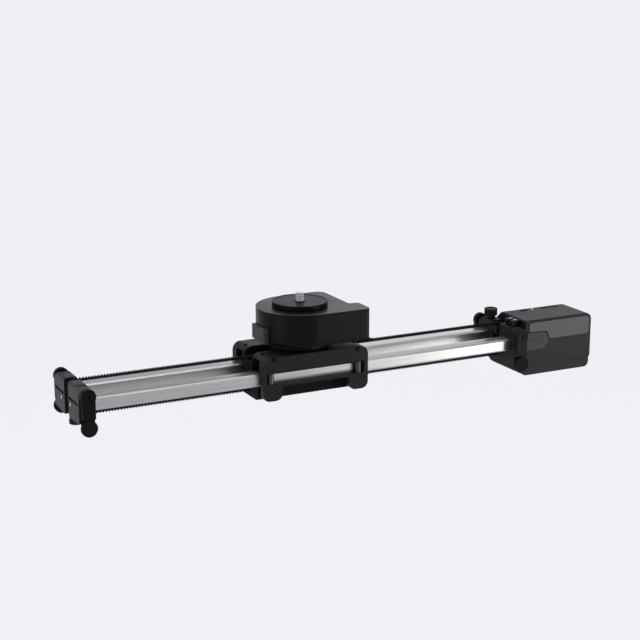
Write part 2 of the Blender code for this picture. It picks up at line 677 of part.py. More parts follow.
def make_under_roller(name, x, side, parent):
    """Make a roller that runs on a rail's underside."""
    place = (x, up(UNDER_ROLLER_Z))
    inner = PLATE_INNER_Y - GAP - UNDER_ROLLER_WIDTH
    roller = rod("Y", place, UNDER_ROLLER_RADIUS, side * inner, side * (PLATE_INNER_Y - GAP))
    join(roller, rod("Y", place, ROLLER_PIN, side * (inner + MM),
                     side * (PLATE_INNER_Y + UNDER_PIN_LONG), 16))
    finish(roller, name, "acetal", parent, (x, side * inner, place[1]))


def make_camera_clamp(parent):
    """Make the U-shaped clamp that holds the belt's upper strand to the bridge."""
    half = CLAMP_LENGTH / 2
    top = up(DECK_TOP - DECK_WALL) - GAP
    high = up(BELT_INNER) - GAP
    clear = BELT_WIDTH / 2 + CLAMP_ROOM
    wide = clear + CLAMP_EAR
    clamp = box((-half, -wide, high - CLAMP_THICK), (half, wide, top))
    cut(clamp, box((-half - MM, -clear, high), (half + MM, clear, top + MM)))
    finish(clamp, "camera_belt_clamp", "black_anodised", parent)


# ---------------------------------------------------------------- tripod carriage

def make_tripod_carriage(parent):
    """Make the base under the rails with the core that rises between them."""
    half = CARRIAGE_LENGTH / 2
    chamfer = BASE_CHAMFER
    wide, top = BASE_HALF_WIDTH, up(BASE_TOP)
    section = [(-wide, chamfer), (-wide + 2 * chamfer, 0), (wide - 2 * chamfer, 0),
               (wide, chamfer), (wide, top), (-wide, top)]
    body = prism(section, "X", -half, half)
    core = CORE_HALF_WIDTH
    join(body, box((-half, -core, top - MM), (half, core, up(CORE_TOP))))
    pocket_half = RAIL_HEIGHT / 2 + ROLL_PLAY + SPOOL_FLANGE_HIGH + GAP
    wide = SPOOL_POCKET / 2
    for end in ENDS.values():
        for side in SIDES.values():
            x, y = end * SPOOL_X, side * SPOOL_Y
            near = side * (SPOOL_Y - SPOOL_FLANGE - GAP)
            pocket = rectangle((x - wide, near), (x + wide, side * 2 * core))
            pin = rod("Z", (x, y), ROLLER_PIN + RUNNING, up(-pocket_half - ROLLER_PIN_LONG - GAP),
                      up(pocket_half + ROLLER_PIN_LONG + GAP), 16)
            cut(body, prism(pocket, "Z", up(-pocket_half), up(pocket_half)), pin)
    for x, radius in ((-THREAD_X, THREAD_3_8), (THREAD_X, THREAD_1_4)):
        for side in SIDES.values():
            cut(body, rod("Z", (x, side * THREAD_Y), radius, -MM, THREAD_DEEP))
    tunnel = TUNNEL_WIDTH / 2
    low, high = up(-BELT_TOP - TUNNEL_PLAY), up(-BELT_INNER + TUNNEL_PLAY)
    cut(body, box((-half - MM, -tunnel, low), (half + MM, tunnel, high)))
    clamp = CLAMP_LENGTH / 2 + GAP
    cut(body, box((-clamp, -tunnel, high - GAP), (clamp, tunnel, high + 3 * CLAMP_THICK)))
    finish(body, "tripod_carriage", "black_anodised", parent)

    low = up(-BELT_INNER) + GAP
    half = CLAMP_LENGTH / 2
    bar = box((-half, -tunnel + GAP, low), (half, tunnel - GAP, low + 2 * CLAMP_THICK))
    finish(bar, "tripod_belt_clamp", "steel", parent)


def make_spool(name, x, side, parent):
    """Make an upright flanged roller that runs on a rail's inner face and edges."""
    place = (x, side * SPOOL_Y)
    half = RAIL_HEIGHT / 2 + ROLL_PLAY
    top = half + SPOOL_FLANGE_HIGH
    roller = rod("Z", place, SPOOL_RADIUS, up(-half - MM / 2), up(half + MM / 2))
    join(roller, rod("Z", place, SPOOL_FLANGE, up(half), up(top)),
         rod("Z", place, SPOOL_FLANGE, up(-top), up(-half)),
         rod("Z", place, ROLLER_PIN, up(-top - ROLLER_PIN_LONG), up(top + ROLLER_PIN_LONG), 16))
    finish(roller, name, "steel", parent, (*place, RAIL_Z))


# ---------------------------------------------------------------- pan head

def pan_outline(shrink=0.0):
    """Return the pan body's outline (x, y): round on the left, with a tail on the right."""
    radius = PAN_BODY_RADIUS - shrink
    end, tail, step = PAN_END_X - shrink, PAN_TAIL_X - shrink, PAN_TAIL_Y - shrink
    arc = [Vector((radius * math.cos(t), radius * math.sin(t)))
           for t in (math.radians(90 + 180 * step / 36) for step in range(37))]
    rest = rounded([(0, -radius, 0), (tail, -radius, PAN_TAIL_ROUND), (tail, step, PAN_TAIL_ROUND),
                    (end, step, PAN_STEP_ROUND), (end, radius, PAN_CORNER), (0, radius, 0)])
    return arc + rest[1:-1]


def make_pan_body(parent):
    """Make the pan head's base disc, shell and floor."""
    low = up(DECK_TOP) + GAP
    disc = rod("Z", (0, 0), PAN_BASE_RADIUS, low, low + PAN_BASE_HEIGHT, 64)
    finish(disc, "pan_base_disc", "black_anodised", parent, (0, 0, low))

    low, high = up(PAN_Z), up(PAN_TOP)
    shell = prism(pan_outline(), "Z", low, high)
    floor_top = low + PAN_FLOOR + GAP
    room = prism(pan_outline(PAN_WALL), "Z", low - MM, high - PAN_WALL)
    hole = rod("Z", (0, 0), PAN_SHAFT + RUNNING, high - 2 * PAN_WALL, high + MM)
    side = SIDE_BUTTON_WIDTH / 2 + GAP
    slot_low = low + SIDE_BUTTON_LOW - GAP
    slot, notch = (box((-2 * PAN_BODY_RADIUS, -side, slot_low),
                       (-PAN_BODY_RADIUS + 3 * PAN_WALL, side,
                        slot_low + SIDE_BUTTON_HEIGHT + 2 * GAP)) for _ in range(2))
    cut(shell, room, hole, slot)
    finish(shell, "pan_housing", "black_anodised", parent, (0, 0, low))

    floor = prism(pan_outline(PAN_WALL + GAP), "Z", low, floor_top - GAP)
    cut(floor, notch)
    finish(floor, "pan_floor", "black_plastic", parent, (0, 0, low))

    motor_x = PAN_GEAR + PAN_PINION + GAP
    gear_low = high - PAN_WALL - GAP - PAN_GEAR_HIGH
    motor = rod("Z", (motor_x, 0), PAN_MOTOR, floor_top, floor_top + PAN_MOTOR_HIGH)
    finish(motor, "pan_motor", "steel", parent, (motor_x, 0, floor_top))
    pinion = prism(teeth_wheel((motor_x, 0), PAN_PINION - PAN_GEAR_TOOTH, PAN_PINION,
                               PAN_PINION_TEETH), "Z", gear_low, gear_low + PAN_GEAR_HIGH)
    join(pinion, rod("Z", (motor_x, 0), PAN_PINION_SHAFT, floor_top + PAN_MOTOR_HIGH + GAP,
                     gear_low + MM, 16))
    finish(pinion, "pan_pinion", "acetal", parent, (motor_x, 0, gear_low))

    button = box((SIDE_BUTTON_X, -side + GAP, slot_low + GAP),
                 (-PAN_BODY_RADIUS + 2 * PAN_WALL, side - GAP,
                  slot_low + SIDE_BUTTON_HEIGHT + GAP))
    finish(button, "pan_side_button", "dark_plastic", parent, (SIDE_BUTTON_X, 0, slot_low))


def make_platform(parent):
    """Make the turning platform with its shaft and gear, and the camera screw."""
    low, high = up(PLATFORM_Z), up(PLATFORM_Z) + PLATFORM_HEIGHT
    gear_low = up(PAN_TOP) - PAN_WALL - GAP - PAN_GEAR_HIGH
    turned = rod("Z", (0, 0), PLATFORM_RADIUS, low, high, 64)
    join(turned, rod("Z", (0, 0), PAN_SHAFT, gear_low + MM, low + MM),
         prism(teeth_wheel((0, 0), PAN_GEAR - PAN_GEAR_TOOTH, PAN_GEAR, PAN_GEAR_TEETH), "Z",
               gear_low, gear_low + PAN_GEAR_HIGH))
    stem = THREAD_3_8 - SCREW_SLIM
    cut(turned, rod("Z", (0, 0), stem + GAP, high - SCREW_SUNK, high + MM, 24))
    finish(turned, "pan_platform", "black_anodised", parent, (0, 0, low))

    screw = rod("Z", (0, 0), stem, high - SCREW_SUNK + GAP, high + SCREW_LENGTH, 24)
    finish(screw, "camera_screw", "steel", parent, (0, 0, high))


# ---------------------------------------------------------------- motor module

def module_outline(shrink=0.0):
    """Return the module's section (y, z)."""
    near, far = -MODULE_NEAR + shrink, MODULE_FAR - shrink
    top, low = up(MODULE_TOP) - shrink, up(MODULE_SPLIT)
    slope = MODULE_SLOPE_Y - shrink / 2
    corner = max(MODULE_WALL - shrink, MODULE_LEAST_ROUND)
    return rounded([(near, low, 0), (near, top, corner), (slope, top, corner),
                    (far, up(MODULE_SLOPE_Z), 2 * corner), (far, low, 0)])


def make_module(parent):
    """Make the module's shell, base, side covers and its motor."""
    left, right = MODULE_X, MODULE_X + MODULE_LENGTH
    shell = prism(module_outline(), "X", left, right)
    room = prism(module_outline(MODULE_WALL), "X", left + MODULE_WALL, right - MODULE_WALL)
    room.data.transform(Matrix.Translation((0, 0, -MM)))
    mouth_near = NEAR * (WHEEL_GEAR_Y + WHEEL_GEAR_WIDE + MM)
    mouth = box((left - MM, mouth_near, up(-WHEEL_RADIUS - MM)),
                (left + 2 * MODULE_WALL, WHEEL_WIDTH / 2 + MM, up(WHEEL_RADIUS + MM)))
    end = rounded([(left, up(MODULE_SPLIT) - MM, 0), (right, up(MODULE_SPLIT) - MM, 0),
                   (right, up(MODULE_TOP), MODULE_CORNER), (left, up(MODULE_TOP), MODULE_END_ROUND)])
    combine(shell, [prism(end, "Y", -2 * MODULE_NEAR, 2 * MODULE_FAR)], "INTERSECT")
    long, wide, high = POWER_BUTTON
    x, y, top = left + POWER_BUTTON_X, POWER_BUTTON_Y, up(MODULE_TOP)
    well = box((x - long / 2 - GAP, y - wide / 2 - GAP, top - 2 * MODULE_WALL),
               (x + long / 2 + GAP, y + wide / 2 + GAP, top + MM))
    cut(shell, room, mouth, well)
    finish(shell, "module_shell", "dark_plastic", parent, (left, 0, RAIL_Z))
    button = box((x - long / 2, y - wide / 2, top + BUTTON_PROUD - 2 * high),
                 (x + long / 2, y + wide / 2, top + BUTTON_PROUD))
    finish(button, "power_button", "black_rubber", parent, (x, y, top))

    low, high = up(-MODULE_BOTTOM), up(MODULE_SPLIT) - GAP
    inset = right - MODULE_INSET
    side = rounded([(left, low, MODULE_END_ROUND), (inset, low, MODULE_CORNER), (inset, high, 0),
                    (left, high, 0)])
    base = prism(side, "Y", -MODULE_NEAR + BASE_INSET, MODULE_FAR - BASE_INSET)
    section = rounded([(-MODULE_NEAR, low, BASE_ROUND), (MODULE_FAR - BASE_INSET, low, MODULE_FAR_ROUND),
                       (MODULE_FAR - BASE_INSET, high, 0), (-MODULE_NEAR, high, 0)])
    combine(base, [prism(section, "X", left, right)], "INTERSECT")
    finish(base, "module_base", "dark_plastic", parent, (left, 0, low))

    face = -MODULE_NEAR - GAP
    panel_low, panel_mid, panel_top = up(COVER_LOW), up(COVER_MIDDLE), up(MODULE_TOP - MODULE_WALL)
    start, step = left + COVER_START, left + COVER_STEP
    end_x, bend = right - MODULE_CORNER / 2, COVER_CORNER
    panel = rounded([(start, panel_mid, bend), (step, panel_mid, bend),
                     (step + COVER_SWEEP, panel_low, bend), (end_x, panel_low, bend),
                     (end_x, panel_top, bend), (start, panel_top, bend)], 6)
    cover = prism(panel, "Y", face - COVER_THICK, face)
    finish(cover, "battery_cover", "grey_plastic", parent, (start, face, panel_low))
    tab_low, tab_high, tab_start = up(TAB_LOW), up(TAB_HIGH), left + TAB_START
    radius = TAB_ROUND_SHARE * (tab_high - tab_low)
    tab_end = left + TAB_END
    tab = rounded([(tab_start, tab_low, CAP_SLOT_ROUND), (tab_end, tab_low, radius),
                   (tab_end, tab_high, radius), (tab_start, tab_high, CAP_SLOT_ROUND)], 8)
    plate = prism(tab, "Y", face - CLAMP_PLATE_THICK, face)
    finish(plate, "module_side_tab", "dark_plastic", parent, (left, face, RAIL_Z))

    hook = prism(rectangle((left + LATCH_LOW[0], up(CAP_TOP) + LATCH_LOW[2]),
                           (left + LATCH_HIGH[0], up(CAP_TOP) + LATCH_HIGH[2]), LATCH_ROUND), "Y",
                 LATCH_LOW[1], LATCH_HIGH[1])
    finish(hook, "module_latch", "black_anodised", parent, (left, LATCH_LOW[1], up(CAP_TOP)))

    start_y = NEAR * (WHEEL_GEAR_Y + WHEEL_GEAR_WIDE + 2 * GAP)
    motor = rod("Y", (PINION_X, RAIL_Z), MOTOR_RADIUS, start_y, start_y + NEAR * MOTOR_LENGTH)
    finish(motor, "drive_motor", "steel", parent, (PINION_X, start_y, RAIL_Z))


def make_drive(parent):
    """Make the wheel that drives the belt's teeth, and the pinion that turns it."""
    half = WHEEL_WIDTH / 2
    start, end = NEAR * WHEEL_GEAR_Y, NEAR * (WHEEL_GEAR_Y + WHEEL_GEAR_WIDE)
    place = (WHEEL_X, RAIL_Z)
    wheel = prism(teeth_wheel(place, WHEEL_RADIUS - WHEEL_TOOTH, WHEEL_RADIUS, WHEEL_TEETH), "Y",
                  -half, half)
    join(wheel, rod("Y", place, IDLER_AXLE, start + NEAR * MM, 2 * half, 24),
         prism(teeth_wheel(place, WHEEL_GEAR - GEAR_TOOTH, WHEEL_GEAR, WHEEL_GEAR_TEETH), "Y", start, end))
    finish(wheel, "drive_wheel", "acetal", parent, (WHEEL_X, 0, RAIL_Z))
    place = (PINION_X, RAIL_Z)
    pinion = prism(teeth_wheel(place, PINION_RADIUS - GEAR_TOOTH, PINION_RADIUS, PINION_TEETH), "Y",
                   start, end)
    join(pinion, rod("Y", place, PINION_SHAFT, start - NEAR * MM, end + NEAR * GAP, 16))
    finish(pinion, "motor_pinion", "steel", parent, (PINION_X, start, RAIL_Z))


def main():
    """Clear the scene and make every piece."""
    for item in list(bpy.data.objects):
        bpy.data.objects.remove(item)
    tripod = group("tripod_body")
    rails = group("rail_body", None, (0, 0, RAIL_Z))
    camera = group("camera_body", None, (0, 0, up(DECK_TOP)))
    turning = group("pan_body", camera, (0, 0, up(PLATFORM_Z)))

    for name, side in SIDES.items():
        make_rail(f"{name}_rail", side, rails)
    make_belt(rails)
    for end in ENDS:
        for level, sign in (("top", 1), ("bottom", -1)):
            make_idler(f"{end}_{level}_idler", IDLER_X[end], up(sign * IDLER_Z), rails)
        for side_name in SIDES:
            make_cap(end, side_name, rails)
            make_leg(end, side_name, rails)
    make_knobs(rails)
    make_module(rails)
    make_drive(rails)

    make_deck(camera)
    make_camera_clamp(camera)
    for side_name, side in SIDES.items():
        make_plate(side_name, camera)
        for end, way in ENDS.items():
            make_side_roller(f"{side_name}_{end}_side_roller", way * SIDE_ROLLER_X, side, camera)
            make_under_roller(f"{side_name}_{end}_under_roller", way * UNDER_ROLLER_X, side, camera)
            make_spool(f"{side_name}_{end}_spool", way * SPOOL_X, side, tripod)
    make_tripod_carriage(tripod)
    make_pan_body(camera)
    make_platform(turning)


main()
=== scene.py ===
"""Visual model of a belt-driven camera slider with a motor module and a pan head.

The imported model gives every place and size. Visible nodes are copied, their edges are softened
and their details are added, and every piece is dressed in a procedural finish. Units are metres,
+X runs towards the motor module, -Y is the near side and +Z is up.
"""
from __future__ import annotations

import json
import logging
import math
from contextlib import contextmanager
from dataclasses import dataclass
from enum import Enum
from typing import Callable, Iterator, Mapping, Sequence, Union

import bmesh
import bpy
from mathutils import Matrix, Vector

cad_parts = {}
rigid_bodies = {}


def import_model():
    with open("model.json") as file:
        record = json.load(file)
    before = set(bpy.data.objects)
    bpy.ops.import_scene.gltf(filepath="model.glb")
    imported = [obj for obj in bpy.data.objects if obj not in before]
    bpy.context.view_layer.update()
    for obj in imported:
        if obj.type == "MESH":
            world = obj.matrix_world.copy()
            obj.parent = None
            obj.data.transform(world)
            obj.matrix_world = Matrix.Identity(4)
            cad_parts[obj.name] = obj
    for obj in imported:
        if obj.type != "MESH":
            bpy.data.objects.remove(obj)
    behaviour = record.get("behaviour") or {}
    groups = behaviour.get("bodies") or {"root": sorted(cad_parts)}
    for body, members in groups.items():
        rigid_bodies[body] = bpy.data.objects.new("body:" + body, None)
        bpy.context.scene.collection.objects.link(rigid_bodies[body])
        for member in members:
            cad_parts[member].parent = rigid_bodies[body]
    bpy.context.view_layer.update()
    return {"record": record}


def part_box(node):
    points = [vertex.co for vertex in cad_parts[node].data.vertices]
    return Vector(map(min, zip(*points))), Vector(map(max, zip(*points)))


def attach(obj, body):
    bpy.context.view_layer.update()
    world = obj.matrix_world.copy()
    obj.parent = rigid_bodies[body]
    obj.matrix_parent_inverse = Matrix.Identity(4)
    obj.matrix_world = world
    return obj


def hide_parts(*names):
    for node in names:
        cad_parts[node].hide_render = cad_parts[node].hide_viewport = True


LOG = logging.getLogger("slider")
MM = 0.001
MERGE = 0.002 * MM     # vertices closer than this are one
FLAT_DEGREES = 0.8     # faces that meet at less than this are one
TOUCH = 0.1 * MM       # a point this close to a plane lies on it
ALONG = 0.9            # share of a direction along an axis, above which it follows the axis
ACROSS = 0.1           # the same share, below which it runs across the axis
ROUND_STEPS = 5        # segments of a large rounding
MOULD_STEPS = 3        # segments of a moulded edge
ROUND_SIDES = 32       # sides of a round bar
SMALL_SIDES = 16       # sides of a small round pin
HEXAGON = 6
LEDGE = 0.01 * MM      # the wall of a step leans this much
Triple = Sequence[float]


class Side(Enum):
    """The two long sides of the slider; the value is the sign of Y."""

    NEAR = -1
    FAR = 1

    @property
    def word(self) -> str:
        """The word used in node names."""
        return self.name.lower()


class End(Enum):
    """The two ends of the slider; the value is the sign of X."""

    LEFT = -1
    RIGHT = 1

    @property
    def word(self) -> str:
        """The word used in node names."""
        return self.name.lower()


class Axis(Enum):
    """A coordinate axis; the value is the turn that brings Z onto it."""

    X = (0.0, math.pi / 2, 0.0)
    Y = (math.pi / 2, 0.0, 0.0)
    Z = (0.0, 0.0, 0.0)


# ---------------------------------------------------------------- shader maths

class Signal:
    """A shader value that can be used in Python expressions."""

    def __init__(self, tree: bpy.types.NodeTree, socket: bpy.types.NodeSocket) -> None:
        """Keep the tree and the output socket.

        Args:
            tree: The node tree the socket belongs to.
            socket: An output socket that carries a value.
        """
        self.tree = tree
        self.socket = socket

    def _math(self, operation: str, *values: Union["Signal", float]) -> "Signal":
        """Add a Math node.

        Args:
            operation: The Math node's operation.
            values: The values or signals of its inputs, in order.

        Returns:
            The node's result.
        """
        node = self.tree.nodes.new("ShaderNodeMath")
        node.operation = operation
        for socket, value in zip(node.inputs, values):
            if isinstance(value, Signal):
                self.tree.links.new(value.socket, socket)
            else:
                socket.default_value = value
        return Signal(self.tree, node.outputs[0])

    def __add__(self, other: Union["Signal", float]) -> "Signal":
        """Return self + other."""
        return self._math("ADD", self, other)

    def __mul__(self, other: Union["Signal", float]) -> "Signal":
        """Return self * other."""
        return self._math("MULTIPLY", self, other)

    def step(self, low: float, high: float) -> "Signal":
        """Return 0 below low and 1 above high, with a straight ramp between."""
        ramp = self.tree.nodes.new("ShaderNodeMapRange")
        self.tree.links.new(self.socket, ramp.inputs["Value"])
        ramp.inputs["From Min"].default_value = low
        ramp.inputs["From Max"].default_value = high
        return Signal(self.tree, ramp.outputs["Result"])


Feed = Union[Signal, bpy.types.NodeSocket, float, Triple]


class Shader:
    """The node tree of one material."""

    def __init__(self, name: str) -> None:
        """Make a material with its Principled shader.

        Args:
            name: The material's name.
        """
        self.material = bpy.data.materials.new(name)
        self.material.use_nodes = True
        self.tree = self.material.node_tree
        self.surface = self.tree.nodes["Principled BSDF"]
        place = self.tree.nodes.new("ShaderNodeTexCoord")
        self.place = place.outputs["Object"]

    def feed(self, socket: bpy.types.NodeSocket, value: Feed) -> None:
        """Link a signal to a socket, or set its constant.

        Args:
            socket: The input socket.
            value: A signal, an output socket or a constant.
        """
        if isinstance(value, Signal):
            self.tree.links.new(value.socket, socket)
        elif isinstance(value, bpy.types.NodeSocket):
            self.tree.links.new(value, socket)
        else:
            socket.default_value = value

    def node(self, kind: str, settings: Mapping[str, object],
             inputs: Mapping[str, Feed]) -> bpy.types.Node:
        """Add any node.

        Args:
            kind: The node's type.
            settings: Attributes that are set first.
            inputs: The value or link of each named socket.

        Returns:
            The node.
        """
        made = self.tree.nodes.new(kind)
        for key, value in settings.items():
            setattr(made, key, value)
        for key, value in inputs.items():
            self.feed(made.inputs[key], value)
        return made

    def noise(self, scale: float, stretch: Triple = (1, 1, 1), detail: float = 2.0) -> Signal:
        """Return a noise in object space.

        Args:
            scale: Features per metre.
            stretch: The pattern's scale along each axis.
            detail: The noise's detail.

        Returns:
            A value around 0.5.
        """
        mapped = self.node("ShaderNodeMapping", {}, {"Vector": self.place, "Scale": stretch})
        made = self.node("ShaderNodeTexNoise", {},
                         {"Vector": mapped.outputs[0], "Scale": scale, "Detail": detail})
        return Signal(self.tree, made.outputs["Fac"])

    def blend(self, factor: Signal, low: Triple, high: Triple) -> bpy.types.NodeSocket:
        """Mix two colours.

        Args:
            factor: 0 gives the low colour and 1 gives the high one.
            low: The first colour.
            high: The second colour.

        Returns:
            The mixed colour's socket.
        """
        made = self.node("ShaderNodeMix", {"data_type": "RGBA"}, {"Factor": factor})
        for socket in made.inputs:
            if socket.type == "RGBA":
                socket.default_value = (*(low if socket.name == "A" else high), 1.0)
        return next(item for item in made.outputs if item.type == "RGBA")

    def bump(self, height: Signal, distance: float, strength: float = 1.0) -> None:
        """Give the surface a bump.

        Args:
            height: The height pattern.
            distance: The height of a full step, in metres.
            strength: How much of it shows.
        """
        made = self.node("ShaderNodeBump", {}, {"Height": height, "Distance": distance,
                                                "Strength": strength})
        self.feed(self.surface.inputs["Normal"], made.outputs[0])

    def set(self, **values: float) -> None:
        """Set constants of the surface shader, with _ for each space in a name."""
        for key, value in values.items():
            self.surface.inputs[key.replace("_", " ")].default_value = value

    def vary(self, colour: Feed, roughness: Feed) -> bpy.types.Material:
        """Feed what changes over the surface.

        Args:
            colour: The base colour.
            roughness: The roughness.

        Returns:
            The finished material.
        """
        self.feed(self.surface.inputs["Base Color"], colour)
        self.feed(self.surface.inputs["Roughness"], roughness)
        return self.material


def grey(tone: float, tint: Triple = (1.0, 1.0, 1.0)) -> tuple[float, float, float]:
    """Return a grey with a slight tint."""
    return (tone * tint[0], tone * tint[1], tone * tint[2])


# ---------------------------------------------------------------- finishes

@dataclass(frozen=True)
class Blasted:
    """A blasted or moulded dark surface: fine pale speckle on a dark ground."""

    name: str
    tone: float
    pale: float
    roughness: float = 0.5
    gloss: float = 0.25
    cloud: float = 18.0
    speckle: float = 900.0
    grain: float = 2600.0
    rise: float = 0.05 * MM

    def build(self) -> bpy.types.Material:
        """Return the material."""
        shader = Shader(self.name)
        fine = shader.noise(self.grain, detail=3.0)
        speck = shader.noise(self.speckle).step(0.45, 0.72)
        cloud = shader.noise(self.cloud).step(0.3, 0.7)
        share = speck * 0.6 + fine * 0.25 + cloud * 0.15
        colour = shader.blend(share, grey(self.tone), grey(self.pale))
        shader.set(Specular_IOR_Level=self.gloss)
        shader.bump(fine + speck * 0.4, self.rise)
        return shader.vary(colour, fine * 0.16 + cloud * 0.06 + (self.roughness - 0.11))


@dataclass(frozen=True)
class DrawnAluminium:
    """Satin drawn aluminium: lines along X and a fine blasted grain."""

    name: str
    tone: float
    pale: float
    roughness: float = 0.36
    cloud: float = 9.0
    lines: float = 1400.0
    grain: float = 1700.0
    rise: float = 0.03 * MM
    tint: Triple = (1.0, 1.0, 0.975)

    def build(self) -> bpy.types.Material:
        """Return the material."""
        shader = Shader(self.name)
        drawn = shader.noise(self.lines, (0.012, 1.0, 1.0), 3.0)
        grain = shader.noise(self.grain, detail=1.0)
        cloud = shader.noise(self.cloud, (1.0, 4.0, 4.0))
        share = drawn * 0.45 + grain * 0.4 + cloud * 0.15
        shader.set(Metallic=1.0)
        colour = shader.blend(share.step(0.3, 0.7), grey(self.tone, self.tint),
                              grey(self.pale, self.tint))
        shader.bump(drawn * 0.5 + grain * 0.5, self.rise, 0.6)
        return shader.vary(colour, drawn * 0.12 + grain * 0.08 + (self.roughness - 0.1))


@dataclass(frozen=True)
class TurnedSteel:
    """Bright ground steel with faint marks."""

    name: str
    tone: float = 0.5
    roughness: float = 0.3
    lines: float = 2200.0
    cloud: float = 160.0
    rise: float = 0.02 * MM

    def build(self) -> bpy.types.Material:
        """Return the material."""
        shader = Shader(self.name)
        marks = shader.noise(self.lines, (1.0, 1.0, 0.2))
        stain = shader.noise(self.cloud)
        shader.set(Metallic=1.0)
        colour = shader.blend(marks * 0.6 + stain * 0.4,
                              grey(self.tone * 0.7), grey(self.tone * 1.2))
        shader.bump(marks, self.rise)
        return shader.vary(colour, stain * 0.2 + (self.roughness - 0.08))


@dataclass(frozen=True)
class Rubber:
    """Matt rubber with a fine cloth-like grain and slightly worn high spots."""

    name: str
    tone: float = 0.0015
    pale: float = 0.007
    gloss: float = 0.1
    roughness: float = 0.68
    worn: float = 300.0
    grain: float = 2400.0
    rise: float = 0.06 * MM

    def build(self) -> bpy.types.Material:
        """Return the material."""
        shader = Shader(self.name)
        weave = shader.noise(self.grain, (1.0, 0.35, 1.0), 3.0)
        wear = shader.noise(self.worn).step(0.5, 0.8)
        colour = shader.blend(weave * 0.6 + wear * 0.4, grey(self.tone), grey(self.pale))
        shader.set(Specular_IOR_Level=self.gloss)
        shader.bump(weave, self.rise)
        return shader.vary(colour, weave * 0.2 + self.roughness)


@dataclass(frozen=True)
class Lamp:
    """A small pale light pipe that glows faintly."""

    name: str
    colour: Triple = (0.75, 0.78, 0.8)
    tone: float = 0.6
    glow: float = 0.4
    cloud: float = 900.0
    roughness: float = 0.3

    def build(self) -> bpy.types.Material:
        """Return the material."""
        shader = Shader(self.name)
        milk = shader.noise(self.cloud)
        shader.set(Emission_Strength=self.glow)
        shader.feed(shader.surface.inputs["Emission Color"], (*self.colour, 1.0))
        return shader.vary(shader.blend(milk, grey(self.tone), self.colour),
                           milk * 0.2 + self.roughness)


class Finish(Enum):
    """Every finish used on the slider."""

    ALUMINIUM = DrawnAluminium("drawn_aluminium", 0.27, 0.42, 0.30)
    BLACK = Blasted("black_anodised", 0.003, 0.011, 0.45, 0.1)
    # Painted light: a lighter, glossier copy of black anodised, used only on the left end caps,
    # whose fronts face the left light.
    BLACK_CAP = Blasted("black_cap", 0.004, 0.012, 0.45, 0.2)
    LEG = Blasted("black_leg", 0.001, 0.004, 0.42, 0.07)
    HOUSING = Blasted("black_housing", 0.0006, 0.003, 0.34, 0.09)
    MODULE = Blasted("module_shell", 0.005, 0.014, 0.5, 0.12)
    PANEL = Blasted("module_panel", 0.056, 0.072, 0.5, 0.14)
    TAB = Blasted("module_tab", 0.024, 0.036, 0.5, 0.14)
    # Painted shade: a darker, duller copy of black anodised for parts that sit in shade, under the
    # rails and inside the pan head.
    DARK = Blasted("dark_recess", 0.002, 0.004, 0.6, 0.05)
    ACETAL = Blasted("black_acetal", 0.004, 0.008, 0.35, 0.2)
    RUBBER = Rubber("black_rubber")
    BELT = Rubber("black_belt", 0.001, 0.004)
    STEEL = TurnedSteel("ground_steel")
    # Painted shade: a very dark copy of ground steel for the side rollers, which sit in a shaded
    # pocket of the carriage.
    ROLLER = TurnedSteel("roller_steel", 0.06, 0.32)
    LAMP = Lamp("status_lamp")


class Wardrobe:
    """Makes each finish's material once and hands it out."""

    def __init__(self) -> None:
        """Start with no materials."""
        self.made: dict[Finish, bpy.types.Material] = {}

    def get(self, finish: Finish) -> bpy.types.Material:
        """Return the material of a finish, made on first use."""
        if finish not in self.made:
            self.made[finish] = finish.value.build()
        return self.made[finish]


# ---------------------------------------------------------------- modelling

FaceTest = Callable[[Vector, Vector], bool]
EdgeTest = Callable[[Vector, Vector], bool]


def only(obj: bpy.types.Object) -> None:
    """Select one object and make it active."""
    bpy.ops.object.select_all(action="DESELECT")
    obj.select_set(True)
    bpy.context.view_layer.objects.active = obj


@contextmanager
def editing(obj: bpy.types.Object) -> Iterator[None]:
    """Open a piece in edit mode with nothing selected, and close it afterwards.

    Args:
        obj: The piece.
    """
    only(obj)
    bpy.ops.object.mode_set(mode="EDIT")
    bpy.ops.mesh.select_mode(type="FACE")
    bpy.ops.mesh.select_all(action="DESELECT")
    yield
    bpy.ops.object.mode_set(mode="OBJECT")


